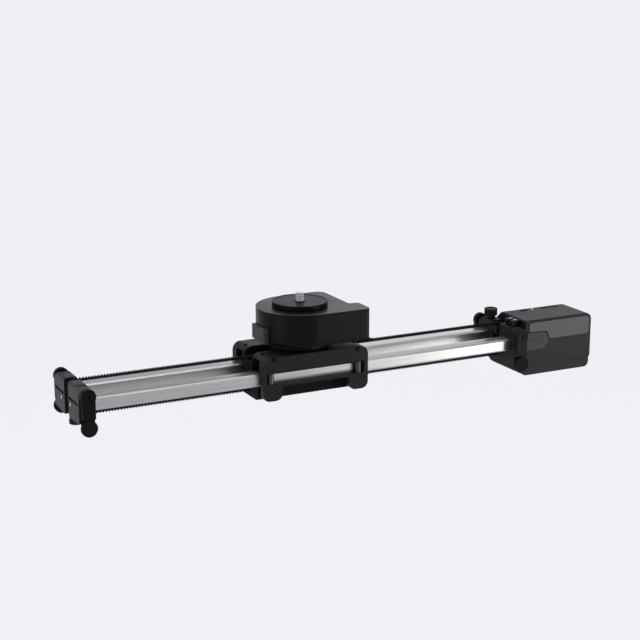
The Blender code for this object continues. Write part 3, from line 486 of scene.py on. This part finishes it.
class Piece:
    """A piece in the making: an object at the origin with its place in its mesh."""

    def __init__(self, obj: bpy.types.Object) -> None:
        """Keep the object.

        Args:
            obj: A mesh object at the origin.
        """
        self.obj = obj

    @classmethod
    def block(cls, name: str, low: Triple, high: Triple) -> "Piece":
        """Start from a block between two corners.

        Args:
            name: The piece's name.
            low: The lowest corner.
            high: The highest corner.

        Returns:
            The piece.
        """
        low_corner, high_corner = Vector(low), Vector(high)
        bpy.ops.object.select_all(action="DESELECT")
        bpy.ops.mesh.primitive_cube_add(size=1.0, location=(low_corner + high_corner) / 2)
        obj = bpy.context.object
        obj.scale = high_corner - low_corner
        return cls._settle(obj, name)

    @classmethod
    def rod(cls, name: str, axis: Axis, centre: Triple, radius: float, length: float,
            sides: int = ROUND_SIDES) -> "Piece":
        """Start from a round bar.

        Args:
            name: The piece's name.
            axis: The axis it lies along.
            centre: Its middle.
            radius: Its radius.
            length: Its length.
            sides: The number of its sides.

        Returns:
            The piece.
        """
        bpy.ops.object.select_all(action="DESELECT")
        bpy.ops.mesh.primitive_cylinder_add(vertices=sides, radius=radius, depth=length,
                                            location=centre, rotation=axis.value)
        return cls._settle(bpy.context.object, name)

    @classmethod
    def _settle(cls, obj: bpy.types.Object, name: str) -> "Piece":
        """Move an object's place into its mesh and name it."""
        obj.name = name
        obj.data.name = name
        only(obj)
        bpy.ops.object.transform_apply(location=True, rotation=True, scale=True)
        return cls(obj)

    @classmethod
    def copy_of(cls, node: str, name: str) -> "Piece":
        """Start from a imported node: a copy of its mesh, merged and with its flat faces whole.

        Args:
            node: The node's name.
            name: The piece's name.

        Returns:
            The piece.
        """
        source = bpy.data.objects[node]
        obj = bpy.data.objects.new(name, source.data.copy())
        obj.data.name = name
        bpy.context.scene.collection.objects.link(obj)
        only(obj)
        if obj.data.has_custom_normals:
            bpy.ops.mesh.customdata_custom_splitnormals_clear()
        with editing(obj):
            bpy.ops.mesh.select_all(action="SELECT")
            bpy.ops.mesh.remove_doubles(threshold=MERGE)
            bpy.ops.mesh.dissolve_limited(angle_limit=math.radians(FLAT_DEGREES))
        return cls(obj)

    def faces(self, test: FaceTest) -> int:
        """Select faces in edit mode.

        Args:
            test: Takes a face's middle and normal.

        Returns:
            How many are selected.
        """
        mesh = bmesh.from_edit_mesh(self.obj.data)
        bpy.ops.mesh.select_all(action="DESELECT")
        for face in mesh.faces:
            face.select_set(test(face.calc_center_median(), face.normal))
        bmesh.update_edit_mesh(self.obj.data)
        return sum(face.select for face in mesh.faces)

    def bevel_edges(self, test: EdgeTest, width: float, segments: int) -> "Piece":
        """Bevel chosen edges.

        Args:
            test: Takes an edge's middle and direction.
            width: The bevel's width.
            segments: Its segments.

        Returns:
            This piece.
        """
        with editing(self.obj):
            bpy.ops.mesh.select_mode(type="EDGE")
            mesh = bmesh.from_edit_mesh(self.obj.data)
            for edge in mesh.edges:
                one, two = (vert.co for vert in edge.verts)
                edge.select_set(test((one + two) / 2, (two - one).normalized()))
            bmesh.update_edit_mesh(self.obj.data)
            bpy.ops.mesh.bevel(offset=width, offset_type="OFFSET", segments=segments,
                               affect="EDGES", profile=0.5)
        return self

    def split(self, places: Sequence[tuple[Triple, Triple]]) -> "Piece":
        """Cut edges into the surface along planes.

        Args:
            places: A point on each plane and its normal.

        Returns:
            This piece.
        """
        with editing(self.obj):
            for point, normal in places:
                bpy.ops.mesh.select_all(action="SELECT")
                bpy.ops.mesh.bisect(plane_co=point, plane_no=normal, use_fill=False)
        return self

    def sink(self, test: FaceTest, move: Triple) -> "Piece":
        """Push chosen faces in or out as a region.

        Args:
            test: Takes a face's middle and normal.
            move: How far the faces move.

        Returns:
            This piece.
        """
        with editing(self.obj):
            if self.faces(test):
                bpy.ops.mesh.extrude_region_move(TRANSFORM_OT_translate={"value": tuple(move)})
        return self

    def swell(self, test: FaceTest, amount: float) -> "Piece":
        """Push chosen faces along their normals.

        Args:
            test: Takes a face's middle and normal.
            amount: The distance; below zero it sinks.

        Returns:
            This piece.
        """
        with editing(self.obj):
            if self.faces(test):
                bpy.ops.mesh.extrude_region_shrink_fatten(
                    TRANSFORM_OT_shrink_fatten={"value": amount})
        return self

    def step_in(self, test: FaceTest, rim: float, depth: float) -> "Piece":
        """Inset chosen faces and push the inner part along its normal.

        Args:
            test: Takes a face's middle and normal.
            rim: The inset's width.
            depth: How deep the inner part goes; below zero it rises.

        Returns:
            This piece.
        """
        with editing(self.obj):
            if self.faces(test):
                bpy.ops.mesh.inset(thickness=rim, depth=0.0)
                bpy.ops.mesh.inset(thickness=LEDGE, depth=-depth)
        return self

    def carve(self, *tools: "Piece") -> "Piece":
        """Cut other pieces out of this one and remove them.

        Args:
            tools: The cutting pieces.

        Returns:
            This piece.
        """
        for tool in tools:
            change = self.obj.modifiers.new("carve", "BOOLEAN")
            change.operation = "DIFFERENCE"
            change.solver = "EXACT"
            change.object = tool.obj
            only(self.obj)
            bpy.ops.object.modifier_apply(modifier=change.name)
            bpy.data.objects.remove(tool.obj)
        return self

    def soften(self, width: float, segments: int = 2, sharp: float = 34.0) -> "Piece":
        """Round the sharp edges a little and shade the piece.

        Args:
            width: The rounding's width.
            segments: Its segments.
            sharp: Edges above this angle, in degrees, are rounded.

        Returns:
            This piece.
        """
        change = self.obj.modifiers.new("edges", "BEVEL")
        change.width = width
        change.segments = segments
        change.limit_method = "ANGLE"
        change.angle_limit = math.radians(sharp)
        change.use_clamp_overlap = True
        only(self.obj)
        bpy.ops.object.modifier_apply(modifier=change.name)
        return self.shade()

    def shade(self, angle: float = 36.0) -> "Piece":
        """Shade smoothly below an angle, with flat faces kept flat."""
        only(self.obj)
        bpy.ops.object.shade_smooth_by_angle(angle=math.radians(angle))
        change = self.obj.modifiers.new("normals", "WEIGHTED_NORMAL")
        change.keep_sharp = True
        bpy.ops.object.modifier_apply(modifier=change.name)
        return self


class Builder:
    """Dresses pieces, puts them on their bodies and reports them."""

    def __init__(self, wardrobe: Wardrobe, bodies: Mapping[str, Sequence[str]]) -> None:
        """Keep the finishes and which body each node belongs to.

        Args:
            wardrobe: The finishes.
            bodies: The nodes of each body.
        """
        self.wardrobe = wardrobe
        self.body_of = {node: body for body, nodes in bodies.items() for node in nodes}
        self.count = 0

    def place(self, piece: Piece, body: str, slot: str, finish: Finish) -> None:
        """Dress a new piece and make it ride on a body.

        Args:
            piece: The piece.
            body: The body it moves with.
            slot: The record's material slot; not used.
            finish: Its finish.
        """
        piece.obj.data.materials.clear()
        piece.obj.data.materials.append(self.wardrobe.get(finish))
        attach(piece.obj, body)
        self.count += 1
        LOG.info("piece %s on %s: %d faces", piece.obj.name, body, len(piece.obj.data.polygons))

    def stand_in(self, piece: Piece, node: str, slot: str, finish: Finish) -> None:
        """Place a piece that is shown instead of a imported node."""
        self.place(piece, self.body_of[node], slot, finish)
        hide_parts(node)

    def dress(self, node: str, finish: Finish) -> None:
        """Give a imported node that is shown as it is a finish."""
        data = bpy.data.objects[node].data
        if not data.materials:
            data.materials.append(None)
        for index in range(len(data.materials)):
            data.materials[index] = self.wardrobe.get(finish)
        LOG.info("node %s: %s", node, finish.value.name)


# ---------------------------------------------------------------- small parts

@dataclass
class SocketScrew:
    """A round screw head with a hexagon socket, seated on a face."""

    radius: float = 1.9 * MM
    height: float = 0.8 * MM
    socket: float = 0.95 * MM
    socket_share: float = 0.65
    sides: int = 24
    edge: float = 0.16 * MM

    def build(self, name: str, axis: Axis, seat: Triple, way: float) -> Piece:
        """Make the head.

        Args:
            name: The piece's name.
            axis: The axis it points along.
            seat: The middle of the face it sits on.
            way: The sign of the direction it points in.

        Returns:
            The piece.
        """
        along = Vector((axis is Axis.X, axis is Axis.Y, axis is Axis.Z)) * way
        head = Piece.rod(name, axis, Vector(seat) + along * self.height / 2, self.radius,
                         self.height, self.sides)
        head.carve(Piece.rod("socket", axis, Vector(seat) + along * self.height, self.socket,
                             2 * self.socket_share * self.height, HEXAGON))
        return head.soften(self.edge, sharp=50.0)


# ---------------------------------------------------------------- rails and belt

@dataclass
class Rails:
    """The two drawn rails, the toothed belt and its idlers."""

    chamfer: float = 1.5 * MM
    groove: float = 0.35 * MM
    groove_in: float = 0.5 * MM
    groove_deep: float = 0.25 * MM
    edge: float = 0.12 * MM

    def rail(self, node: str, name: str) -> Piece:
        """Make one rail: chamfered edges, with a thin groove beside each chamfer.

        Args:
            node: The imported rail.
            name: The piece's name.

        Returns:
            The piece.
        """
        low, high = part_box(node)
        rail = Piece.block(name, low, high)
        rail.bevel_edges(lambda middle, way: abs(way.x) > ALONG, self.chamfer, 1)
        inset = self.chamfer + self.groove_in
        edges = [low.y + inset, low.y + inset + self.groove,
                 high.y - inset - self.groove, high.y - inset]
        rail.split([((0, y, high.z), (0, 1, 0)) for y in edges])

        def in_groove(middle: Vector, normal: Vector) -> bool:
            """Tell whether a face is the floor of a groove to be."""
            return abs(normal.z) > ALONG and (edges[0] < middle.y < edges[1]
                                              or edges[2] < middle.y < edges[3])

        rail.sink(lambda m, n: in_groove(m, n) and m.z > (low.z + high.z) / 2,
                  (0, 0, -self.groove_deep))
        rail.sink(lambda m, n: in_groove(m, n) and m.z < (low.z + high.z) / 2,
                  (0, 0, self.groove_deep))
        return rail.soften(self.edge, sharp=30.0)

    def build(self, builder: Builder) -> None:
        """Make and place the rails, and dress the belt and idlers.

        Args:
            builder: Places the pieces.
        """
        for side in Side:
            node = f"{side.word}_rail"
            builder.stand_in(self.rail(node, f"{side.word}_rail_bar"), node,
                             "clear_aluminium", Finish.ALUMINIUM)
        builder.dress("drive_belt", Finish.BELT)
        for end in End:
            for level in ("top", "bottom"):
                builder.dress(f"{end.word}_{level}_idler", Finish.BLACK)


# ---------------------------------------------------------------- ends

@dataclass
class EndCap:
    """One half of an end cap: grooves in its top, a nick and a screw in its front."""

    rib_start: float = 9.5 * MM
    rib: float = 1.1 * MM
    rib_step: float = 2.6 * MM
    rib_count: int = 3
    rib_deep: float = 0.9 * MM
    rib_level: float = 2.0 * MM
    edge: float = 0.45 * MM
    screw_y: float = 13.4 * MM
    screw_drop: float = 2.3 * MM
    screw_radius: float = 1.7 * MM
    nick_y: float = 33.0 * MM
    nick_drop: float = 7.0 * MM
    nick: Triple = (1.2 * MM, 1.5 * MM, 4.0 * MM)

    def build(self, builder: Builder, end: End, side: Side) -> None:
        """Make one half of a cap; only the left end shows the screw.

        Args:
            builder: Places the pieces.
            end: The end of the rails.
            side: The side of the slider.
        """
        node = f"{end.word}_cap_{side.word}"
        low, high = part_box(node)
        cap = Piece.copy_of(node, f"{node}_body")
        outer = high.y if side is Side.FAR else low.y
        edges = []
        for index in range(self.rib_count):
            start = outer - side.value * (self.rib_start + index * self.rib_step)
            edges.append(sorted((start, start - side.value * self.rib)))
        cap.split([((0, y, 0), (0, 1, 0)) for pair in edges for y in pair])
        cap.sink(lambda m, n: n.z > ALONG and m.z > high.z - self.rib_level
                 and any(pair[0] < m.y < pair[1] for pair in edges), (0, 0, -self.rib_deep))
        front = low.x if end is End.LEFT else high.x
        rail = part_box("near_rail")
        level = (rail[0].z + rail[1].z) / 2
        spread = Vector(self.nick) / 2
        spot = Vector((front, side.value * self.nick_y, level - self.nick_drop))
        cap.carve(Piece.block("nick", spot - spread, spot + spread))
        cap.soften(self.edge)
        # The left caps get the black anodised with painted light; the right caps get the plain
        # black anodised.
        finish = Finish.BLACK_CAP if end is End.LEFT else Finish.BLACK
        builder.stand_in(cap, node, "black_anodised", finish)
        if end is End.LEFT:
            seat = (front, side.value * self.screw_y, level - self.screw_drop)
            screw = SocketScrew(self.screw_radius).build(f"{node}_screw", Axis.X, seat, end.value)
            builder.place(screw, "rail_body", "steel", Finish.STEEL)


@dataclass
class SwingLeg:
    """A swing leg with its rubber foot and pivot bolt."""

    edge: float = 0.5 * MM
    foot_edge: float = 0.4 * MM
    bolt_edge: float = 0.3 * MM
    rim: float = 1.1 * MM
    rim_deep: float = 0.25 * MM

    def build(self, builder: Builder, end: End, side: Side) -> None:
        """Make one leg.

        Args:
            builder: Places the pieces.
            end: The end of the rails.
            side: The side of the slider.
        """
        base = f"{end.word}_{side.word}"
        leg = Piece.copy_of(f"{base}_leg", f"{base}_leg_arm").soften(self.edge)
        builder.stand_in(leg, f"{base}_leg", "black_anodised", Finish.LEG)
        foot = Piece.copy_of(f"{base}_foot", f"{base}_foot_pad")
        foot.step_in(lambda m, n: n.y * side.value > ALONG, self.rim, self.rim_deep)
        foot.soften(self.foot_edge)
        builder.stand_in(foot, f"{base}_foot", "black_rubber", Finish.RUBBER)
        bolt = Piece.copy_of(f"{base}_leg_bolt", f"{base}_leg_bolt_head").soften(self.bolt_edge)
        builder.stand_in(bolt, f"{base}_leg_bolt", "black_anodised", Finish.LEG)


@dataclass
class Knobs:
    """The thumb knob on the right cap and the belt tension knob."""

    rim: float = 1.4 * MM
    dish: float = 0.5 * MM
    edge: float = 0.25 * MM

    def build(self, builder: Builder) -> None:
        """Make both knobs.

        Args:
            builder: Places the pieces.
        """
        for node, way in (("module_lock_knob", 1), ("belt_tension_knob", -1)):
            low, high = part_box(node)
            face = high.z if way > 0 else low.z
            knob = Piece.copy_of(node, f"{node}_head")
            knob.step_in(lambda m, n, f=face, w=way: n.z * w > ALONG and abs(m.z - f) < TOUCH,
                         self.rim, self.dish)
            knob.soften(self.edge)
            builder.stand_in(knob, node, "black_anodised", Finish.BLACK)


# ---------------------------------------------------------------- carriages

@dataclass
class CameraCarriage:
    """The carriage that carries the head: deck, side plates, rollers and belt clamp."""

    edge: float = 0.7 * MM
    deck_edge: float = 0.5 * MM
    roller_edge: float = 0.3 * MM
    shoulder: float = 3.2 * MM
    channel: float = 20.0 * MM
    notch_x: float = 45.0 * MM
    notch_wide: float = 1.5 * MM
    notch_gap: float = 2.6 * MM
    notch_deep: float = 2.0 * MM
    notch_high: float = 4.6 * MM
    screw_x: float = 50.0 * MM
    screw_y: float = 20.0 * MM

    def plate(self, builder: Builder, side: Side) -> None:
        """Make one side plate with the notches at its upper edge.

        Args:
            builder: Places the pieces.
            side: The side of the slider.
        """
        node = f"{side.word}_side_plate"
        low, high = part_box(node)
        plate = Piece.copy_of(node, f"{node}_panel")
        face = high.y if side is Side.FAR else low.y
        plate.bevel_edges(lambda m, w: abs(w.x) > ALONG and m.z > high.z - TOUCH
                          and abs(m.y - face) < TOUCH, self.shoulder, ROUND_STEPS)
        for end in End:
            for shift in (-self.notch_gap / 2, self.notch_gap / 2):
                x = end.value * self.notch_x + shift
                spread = sorted((face - side.value * self.notch_deep, face + side.value * MM))
                plate.carve(Piece.block("notch", (x - self.notch_wide / 2, spread[0],
                                                  high.z - self.notch_high),
                                        (x + self.notch_wide / 2, spread[1], high.z + MM)))
        plate.soften(self.edge)
        builder.stand_in(plate, node, "black_anodised", Finish.BLACK)

    def build(self, builder: Builder) -> None:
        """Make the carriage.

        Args:
            builder: Places the pieces.
        """
        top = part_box("carriage_deck")[1].z
        deck = Piece.copy_of("carriage_deck", "carriage_deck_top")
        deck.bevel_edges(lambda m, w: abs(w.x) > ALONG and m.z > top - TOUCH
                         and abs(abs(m.y) - self.channel / 2) < 2 * TOUCH,
                         self.shoulder, ROUND_STEPS)
        deck.soften(self.deck_edge, 1)
        builder.stand_in(deck, "carriage_deck", "black_anodised", Finish.BLACK)
        builder.dress("camera_belt_clamp", Finish.BLACK)
        for side in Side:
            self.plate(builder, side)
            for end in End:
                base = f"{side.word}_{end.word}"
                roller = Piece.copy_of(f"{base}_side_roller", f"{base}_side_roller_wheel")
                roller.soften(self.roller_edge)
                # The side rollers get the ground steel with painted shade.
                builder.stand_in(roller, f"{base}_side_roller", "steel", Finish.ROLLER)
                builder.dress(f"{base}_under_roller", Finish.ACETAL)
                seat = (end.value * self.screw_x, side.value * self.screw_y, top)
                screw = SocketScrew().build(f"{base}_deck_screw", Axis.Z, seat, 1)
                builder.place(screw, "camera_carriage_body", "steel", Finish.LEG)


@dataclass
class TripodCarriage:
    """The carriage under the rails that stands on the tripod."""

    edge: float = 0.5 * MM

    def build(self, builder: Builder) -> None:
        """Make the carriage.

        Args:
            builder: Places the pieces.
        """
        base = Piece.copy_of("tripod_carriage", "tripod_carriage_base").soften(self.edge)
        # The tripod carriage gets black anodised with painted shade.
        builder.stand_in(base, "tripod_carriage", "black_anodised", Finish.DARK)
        builder.dress("tripod_belt_clamp", Finish.STEEL)
        for side in Side:
            for end in End:
                builder.dress(f"{side.word}_{end.word}_spool", Finish.STEEL)


# ---------------------------------------------------------------- pan head

@dataclass
class PanHead:
    """The motorised pan head: base disc, housing, button, platform and screw."""

    lip: float = 2.0 * MM
    seam: float = 0.5 * MM
    seam_deep: float = 0.5 * MM
    foot_round: float = 2.2 * MM
    rim_width: float = 1.0 * MM
    edge: float = 0.7 * MM
    ring: Sequence[float] = (2.2 * MM, 2.7 * MM)
    ring_deep: float = 0.4 * MM
    ring_edge: float = 0.5 * MM
    button_rim: float = 1.4 * MM
    button_rise: float = 0.3 * MM
    button_edge: float = 0.5 * MM
    pad_rim: float = 2.0 * MM
    pad_deep: float = 0.35 * MM
    pad_edge: float = 0.4 * MM
    thread_pitch: float = 1.59 * MM
    thread_waist: float = 0.9
    thread_edge: float = 0.25 * MM

    def disc(self, builder: Builder) -> None:
        """Make the base disc with a ring cut around it.

        Args:
            builder: Places the pieces.
        """
        disc = Piece.copy_of("pan_base_disc", "pan_base_ring")
        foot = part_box("pan_base_disc")[0].z
        low, high = (foot + level for level in self.ring)
        disc.split([((0, 0, z), (0, 0, 1)) for z in (low, high)])
        disc.swell(lambda m, n: low < m.z < high and abs(n.z) < ACROSS, -self.ring_deep)
        disc.soften(self.ring_edge)
        builder.stand_in(disc, "pan_base_disc", "black_anodised", Finish.BLACK)

    def housing(self, builder: Builder) -> None:
        """Make the housing with a seam under its top and above its foot.

        Args:
            builder: Places the pieces.
        """
        low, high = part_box("pan_housing")
        shell = Piece.copy_of("pan_housing", "pan_housing_shell")
        shell.bevel_edges(lambda m, w: m.z < low.z + TOUCH and m.x * m.x + m.y * m.y
                          > (high.y - self.rim_width) ** 2, self.foot_round, ROUND_STEPS)
        for level in (high.z - self.lip, low.z + 2 * self.lip):
            pair = (level - self.seam, level)
            shell.split([((0, 0, z), (0, 0, 1)) for z in pair])
            shell.swell(lambda m, n, p=pair: p[0] < m.z < p[1] and abs(n.z) < ACROSS
                        and (m.x * n.x + m.y * n.y) > 0, -self.seam_deep)
        shell.soften(self.edge)
        builder.stand_in(shell, "pan_housing", "black_anodised", Finish.HOUSING)

    def button(self, builder: Builder) -> None:
        """Make the side button with a raised middle.

        Args:
            builder: Places the pieces.
        """
        button = Piece.copy_of("pan_side_button", "pan_side_button_cap")
        button.step_in(lambda m, n: n.x < -ALONG, self.button_rim, -self.button_rise)
        button.soften(self.button_edge, MOULD_STEPS)
        builder.stand_in(button, "pan_side_button", "dark_plastic", Finish.TAB)

    def platform(self, builder: Builder) -> None:
        """Make the platform with a rim around its pad.

        Args:
            builder: Places the pieces.
        """
        plate = Piece.copy_of("pan_platform", "pan_platform_disc")
        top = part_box("pan_platform")[1].z
        plate.step_in(lambda m, n: n.z > ALONG and abs(m.z - top) < TOUCH, self.pad_rim,
                      self.pad_deep)
        plate.soften(self.pad_edge)
        builder.stand_in(plate, "pan_platform", "black_anodised", Finish.LEG)

    def screw(self, builder: Builder) -> None:
        """Make the camera screw with rings for its thread.

        Args:
            builder: Places the pieces.
        """
        low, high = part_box("camera_screw")
        radius = (high.x - low.x) / 2
        screw = Piece.rod("camera_screw_thread", Axis.Z, (low + high) / 2, radius,
                          high.z - low.z)
        half = self.thread_pitch / 2
        count = int((high.z - low.z) / half)
        screw.split([((0, 0, low.z + half * (step + 0.5)), (0, 0, 1)) for step in range(count)])
        with editing(screw.obj):
            mesh = bmesh.from_edit_mesh(screw.obj.data)
            bpy.ops.mesh.select_mode(type="VERT")
            for vert in mesh.verts:
                turn = (vert.co.z - low.z) / half - 0.5
                vert.select_set(abs(turn - round(turn)) < 0.1 and round(turn) % 2 == 0)
            bmesh.update_edit_mesh(screw.obj.data)
            bpy.ops.transform.resize(value=(self.thread_waist, self.thread_waist, 1.0),
                                     center_override=(0, 0, (low.z + high.z) / 2))
        screw.soften(self.thread_edge, sharp=60.0)
        builder.stand_in(screw, "camera_screw", "steel", Finish.STEEL)

    def build(self, builder: Builder) -> None:
        """Make the head.

        Args:
            builder: Places the pieces.
        """
        self.disc(builder)
        self.housing(builder)
        self.button(builder)
        self.platform(builder)
        self.screw(builder)
        # The pan floor gets black anodised with painted shade.
        for node, finish in (("pan_floor", Finish.DARK), ("pan_motor", Finish.STEEL),
                             ("pan_pinion", Finish.ACETAL)):
            builder.dress(node, finish)


# ---------------------------------------------------------------- motor module

@dataclass
class MotorModule:
    """The motor module: shell, base, battery cover, side tab, button and drive."""

    edge: float = 0.8 * MM
    cover_edge: float = 0.3 * MM
    button_edge: float = 0.4 * MM
    # middle along X, length and width of each port
    ports: Sequence[Triple] = ((300.0 * MM, 24.0 * MM, 3.4 * MM), (272.0 * MM, 4.6 * MM, 3.0 * MM),
                               (264.0 * MM, 3.0 * MM, 2.6 * MM))
    port_y: float = 5.0 * MM
    port_deep: float = 1.6 * MM
    lamp_x: float = 279.0 * MM
    lamp_radius: float = 0.9 * MM
    lamp_high: float = 0.8 * MM
    lamp_edge: float = 0.25 * MM
    # height over the tab's middle and start from its left end, of each slot
    slots: Sequence[Sequence[float]] = ((2.2 * MM, 2.0 * MM), (-1.1 * MM, 7.0 * MM))
    slot_long: float = 13.0 * MM
    slot_high: float = 0.7 * MM
    slot_deep: float = 0.5 * MM
    tab_edge: float = 0.2 * MM
    latch_slot: float = 1.2 * MM
    latch_edge: float = 0.4 * MM
    pin_y: float = 4.2 * MM
    pin: float = 1.0 * MM
    pin_edge: float = 0.2 * MM

    def shell(self, builder: Builder) -> None:
        """Make the shell with its ports and the lamp between them.

        Args:
            builder: Places the pieces.
        """
        shell = Piece.copy_of("module_shell", "module_shell_case")
        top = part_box("module_shell")[1].z
        for x, long, wide in self.ports:
            shell.carve(Piece.block("port", (x - long / 2, self.port_y - wide / 2,
                                             top - self.port_deep),
                                    (x + long / 2, self.port_y + wide / 2, top + MM)))
        shell.soften(self.edge, MOULD_STEPS)
        builder.stand_in(shell, "module_shell", "dark_plastic", Finish.MODULE)
        lamp = Piece.rod("status_lamp", Axis.Z, (self.lamp_x, self.port_y, top),
                         self.lamp_radius, self.lamp_high, SMALL_SIDES)
        builder.place(lamp.soften(self.lamp_edge), "rail_body", "dark_plastic", Finish.LAMP)

    def tab(self, builder: Builder) -> None:
        """Make the side tab with its slots.

        Args:
            builder: Places the pieces.
        """
        tab = Piece.copy_of("module_side_tab", "module_side_tab_plate")
        low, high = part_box("module_side_tab")
        for shift, start in self.slots:
            level = (low.z + high.z) / 2 + shift
            tab.carve(Piece.block("slot", (low.x + start, low.y - MM, level - self.slot_high / 2),
                                  (low.x + start + self.slot_long, low.y + self.slot_deep,
                                   level + self.slot_high / 2)))
        builder.stand_in(tab.soften(self.tab_edge), "module_side_tab", "dark_plastic", Finish.TAB)

    def latch(self, builder: Builder) -> None:
        """Make the latch block with its slot and two pins.

        Args:
            builder: Places the pieces.
        """
        low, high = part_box("module_latch")
        middle = (low + high) / 2
        block = Piece.copy_of("module_latch", "module_latch_block")
        block.carve(Piece.block("slot", (low.x - MM, middle.y - self.latch_slot, middle.z),
                                (high.x + MM, middle.y + self.latch_slot, high.z + MM)))
        block.soften(self.latch_edge, MOULD_STEPS)
        builder.stand_in(block, "module_latch", "black_anodised", Finish.LEG)
        for way in (-1, 1):
            pin = Piece.rod(f"latch_pin_{way + 1}", Axis.Z,
                            (middle.x, middle.y + way * self.pin_y, high.z), self.pin,
                            self.pin, SMALL_SIDES)
            builder.place(pin.soften(self.pin_edge), "rail_body", "steel", Finish.STEEL)

    def build(self, builder: Builder) -> None:
        """Make the module.

        Args:
            builder: Places the pieces.
        """
        self.shell(builder)
        base = Piece.copy_of("module_base", "module_base_tray")
        base.soften(self.edge, MOULD_STEPS)
        builder.stand_in(base, "module_base", "dark_plastic", Finish.MODULE)
        cover = Piece.copy_of("battery_cover", "battery_cover_panel").soften(self.cover_edge)
        builder.stand_in(cover, "battery_cover", "grey_plastic", Finish.PANEL)
        self.tab(builder)
        self.latch(builder)
        button = Piece.copy_of("power_button", "power_button_cap")
        button.soften(self.button_edge, MOULD_STEPS)
        builder.stand_in(button, "power_button", "black_rubber", Finish.RUBBER)
        for node, finish in (("drive_motor", Finish.STEEL), ("drive_wheel", Finish.ACETAL),
                             ("motor_pinion", Finish.STEEL)):
            builder.dress(node, finish)


# ---------------------------------------------------------------- studio

@dataclass
class Studio:
    """The camera, the floor, the lights and the pale surroundings.

    Places are in metres, and the camera's turn is in degrees.
    """

    camera_place: Triple = (-0.6412, -1.3139, 0.4469)
    camera_turn: Triple = (75.5, 0.0, -26.79)
    lens: float = 86.34
    sensor: float = 36.0
    reach: float = 200.0
    floor_z: float = -0.6
    floor_size: float = 60.0
    floor_colour: Triple = (0.875, 0.89, 0.93)
    floor_glow: float = 0.95
    floor_tones: Sequence[float] = (0.03, 0.032)
    floor_cloud: float = 0.4
    floor_roughness: float = 0.9
    aim: Triple = (0.05, 0.0, 0.03)
    sky_colour: Triple = (0.93, 0.95, 1.0)
    sky_glow: float = 0.75

    def camera(self) -> None:
        """Make the camera and use it."""
        data = bpy.data.cameras.new("camera")
        data.lens = self.lens
        data.sensor_width = self.sensor
        data.clip_end = self.reach
        camera = bpy.data.objects.new("camera", data)
        camera.location = self.camera_place
        camera.rotation_euler = [math.radians(value) for value in self.camera_turn]
        bpy.context.scene.collection.objects.link(camera)
        bpy.context.scene.camera = camera

    def softbox(self, name: str, place: Triple, aim: Triple, size: Sequence[float],
                power: float) -> None:
        """Add one rectangular light.

        Args:
            name: Its name.
            place: Where it stands.
            aim: The point it faces.
            size: Its width and height.
            power: Its power in watts.
        """
        data = bpy.data.lights.new(name, "AREA")
        data.shape = "RECTANGLE"
        data.size, data.size_y = size
        data.energy = power
        lamp = bpy.data.objects.new(name, data)
        lamp.location = place
        way = Vector(aim) - Vector(place)
        lamp.rotation_euler = way.to_track_quat("-Z", "Y").to_euler()
        bpy.context.scene.collection.objects.link(lamp)

    def floor(self) -> None:
        """Make the pale floor."""
        bpy.ops.object.select_all(action="DESELECT")
        bpy.ops.mesh.primitive_plane_add(size=self.floor_size, location=(0, 0, self.floor_z))
        plane = bpy.context.object
        plane.name = "studio_floor"
        shader = Shader("studio_floor")
        shader.set(Specular_IOR_Level=0.0, Emission_Strength=self.floor_glow)
        shader.feed(shader.surface.inputs["Emission Color"], (*self.floor_colour, 1.0))
        cloud = shader.noise(self.floor_cloud).step(0.0, 1.0)
        low, high = (grey(tone) for tone in self.floor_tones)
        shader.vary(shader.blend(cloud, low, high), self.floor_roughness)
        plane.data.materials.append(shader.material)

    def build(self) -> None:
        """Set up the whole studio."""
        scene = bpy.context.scene
        scene.view_settings.view_transform = "Standard"
        world = scene.world or bpy.data.worlds.new("World")
        scene.world = world
        world.use_nodes = True
        back = world.node_tree.nodes["Background"]
        back.inputs["Color"].default_value = (*self.sky_colour, 1.0)
        back.inputs["Strength"].default_value = self.sky_glow
        self.floor()
        self.softbox("top_light", (0.1, 0.25, 1.3), self.aim, (1.4, 1.0), 17.0)
        self.softbox("left_light", (-1.5, -0.25, 0.25), self.aim, (0.6, 0.9), 6.5)
        self.softbox("right_light", (1.35, -1.25, 0.1), (0.25, 0.0, 0.03), (0.8, 1.3), 21.0)
        self.softbox("back_light", (1.3, 1.8, 0.62), self.aim, (1.1, 0.7), 2.0)


def main() -> None:
    """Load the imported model, build every sub-assembly and report."""
    logging.basicConfig(level=logging.INFO, format="%(name)s: %(message)s")
    for item in list(bpy.data.objects):
        bpy.data.objects.remove(item)
    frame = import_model()
    studio = Studio()
    studio.camera()
    builder = Builder(Wardrobe(), frame["record"]["behaviour"]["bodies"])
    Rails().build(builder)
    for end in End:
        for side in Side:
            EndCap().build(builder, end, side)
            SwingLeg().build(builder, end, side)
    Knobs().build(builder)
    CameraCarriage().build(builder)
    TripodCarriage().build(builder)
    PanHead().build(builder)
    MotorModule().build(builder)
    studio.build()
    LOG.info("%d pieces placed", builder.count)


if __name__ == "__main__":
    main()
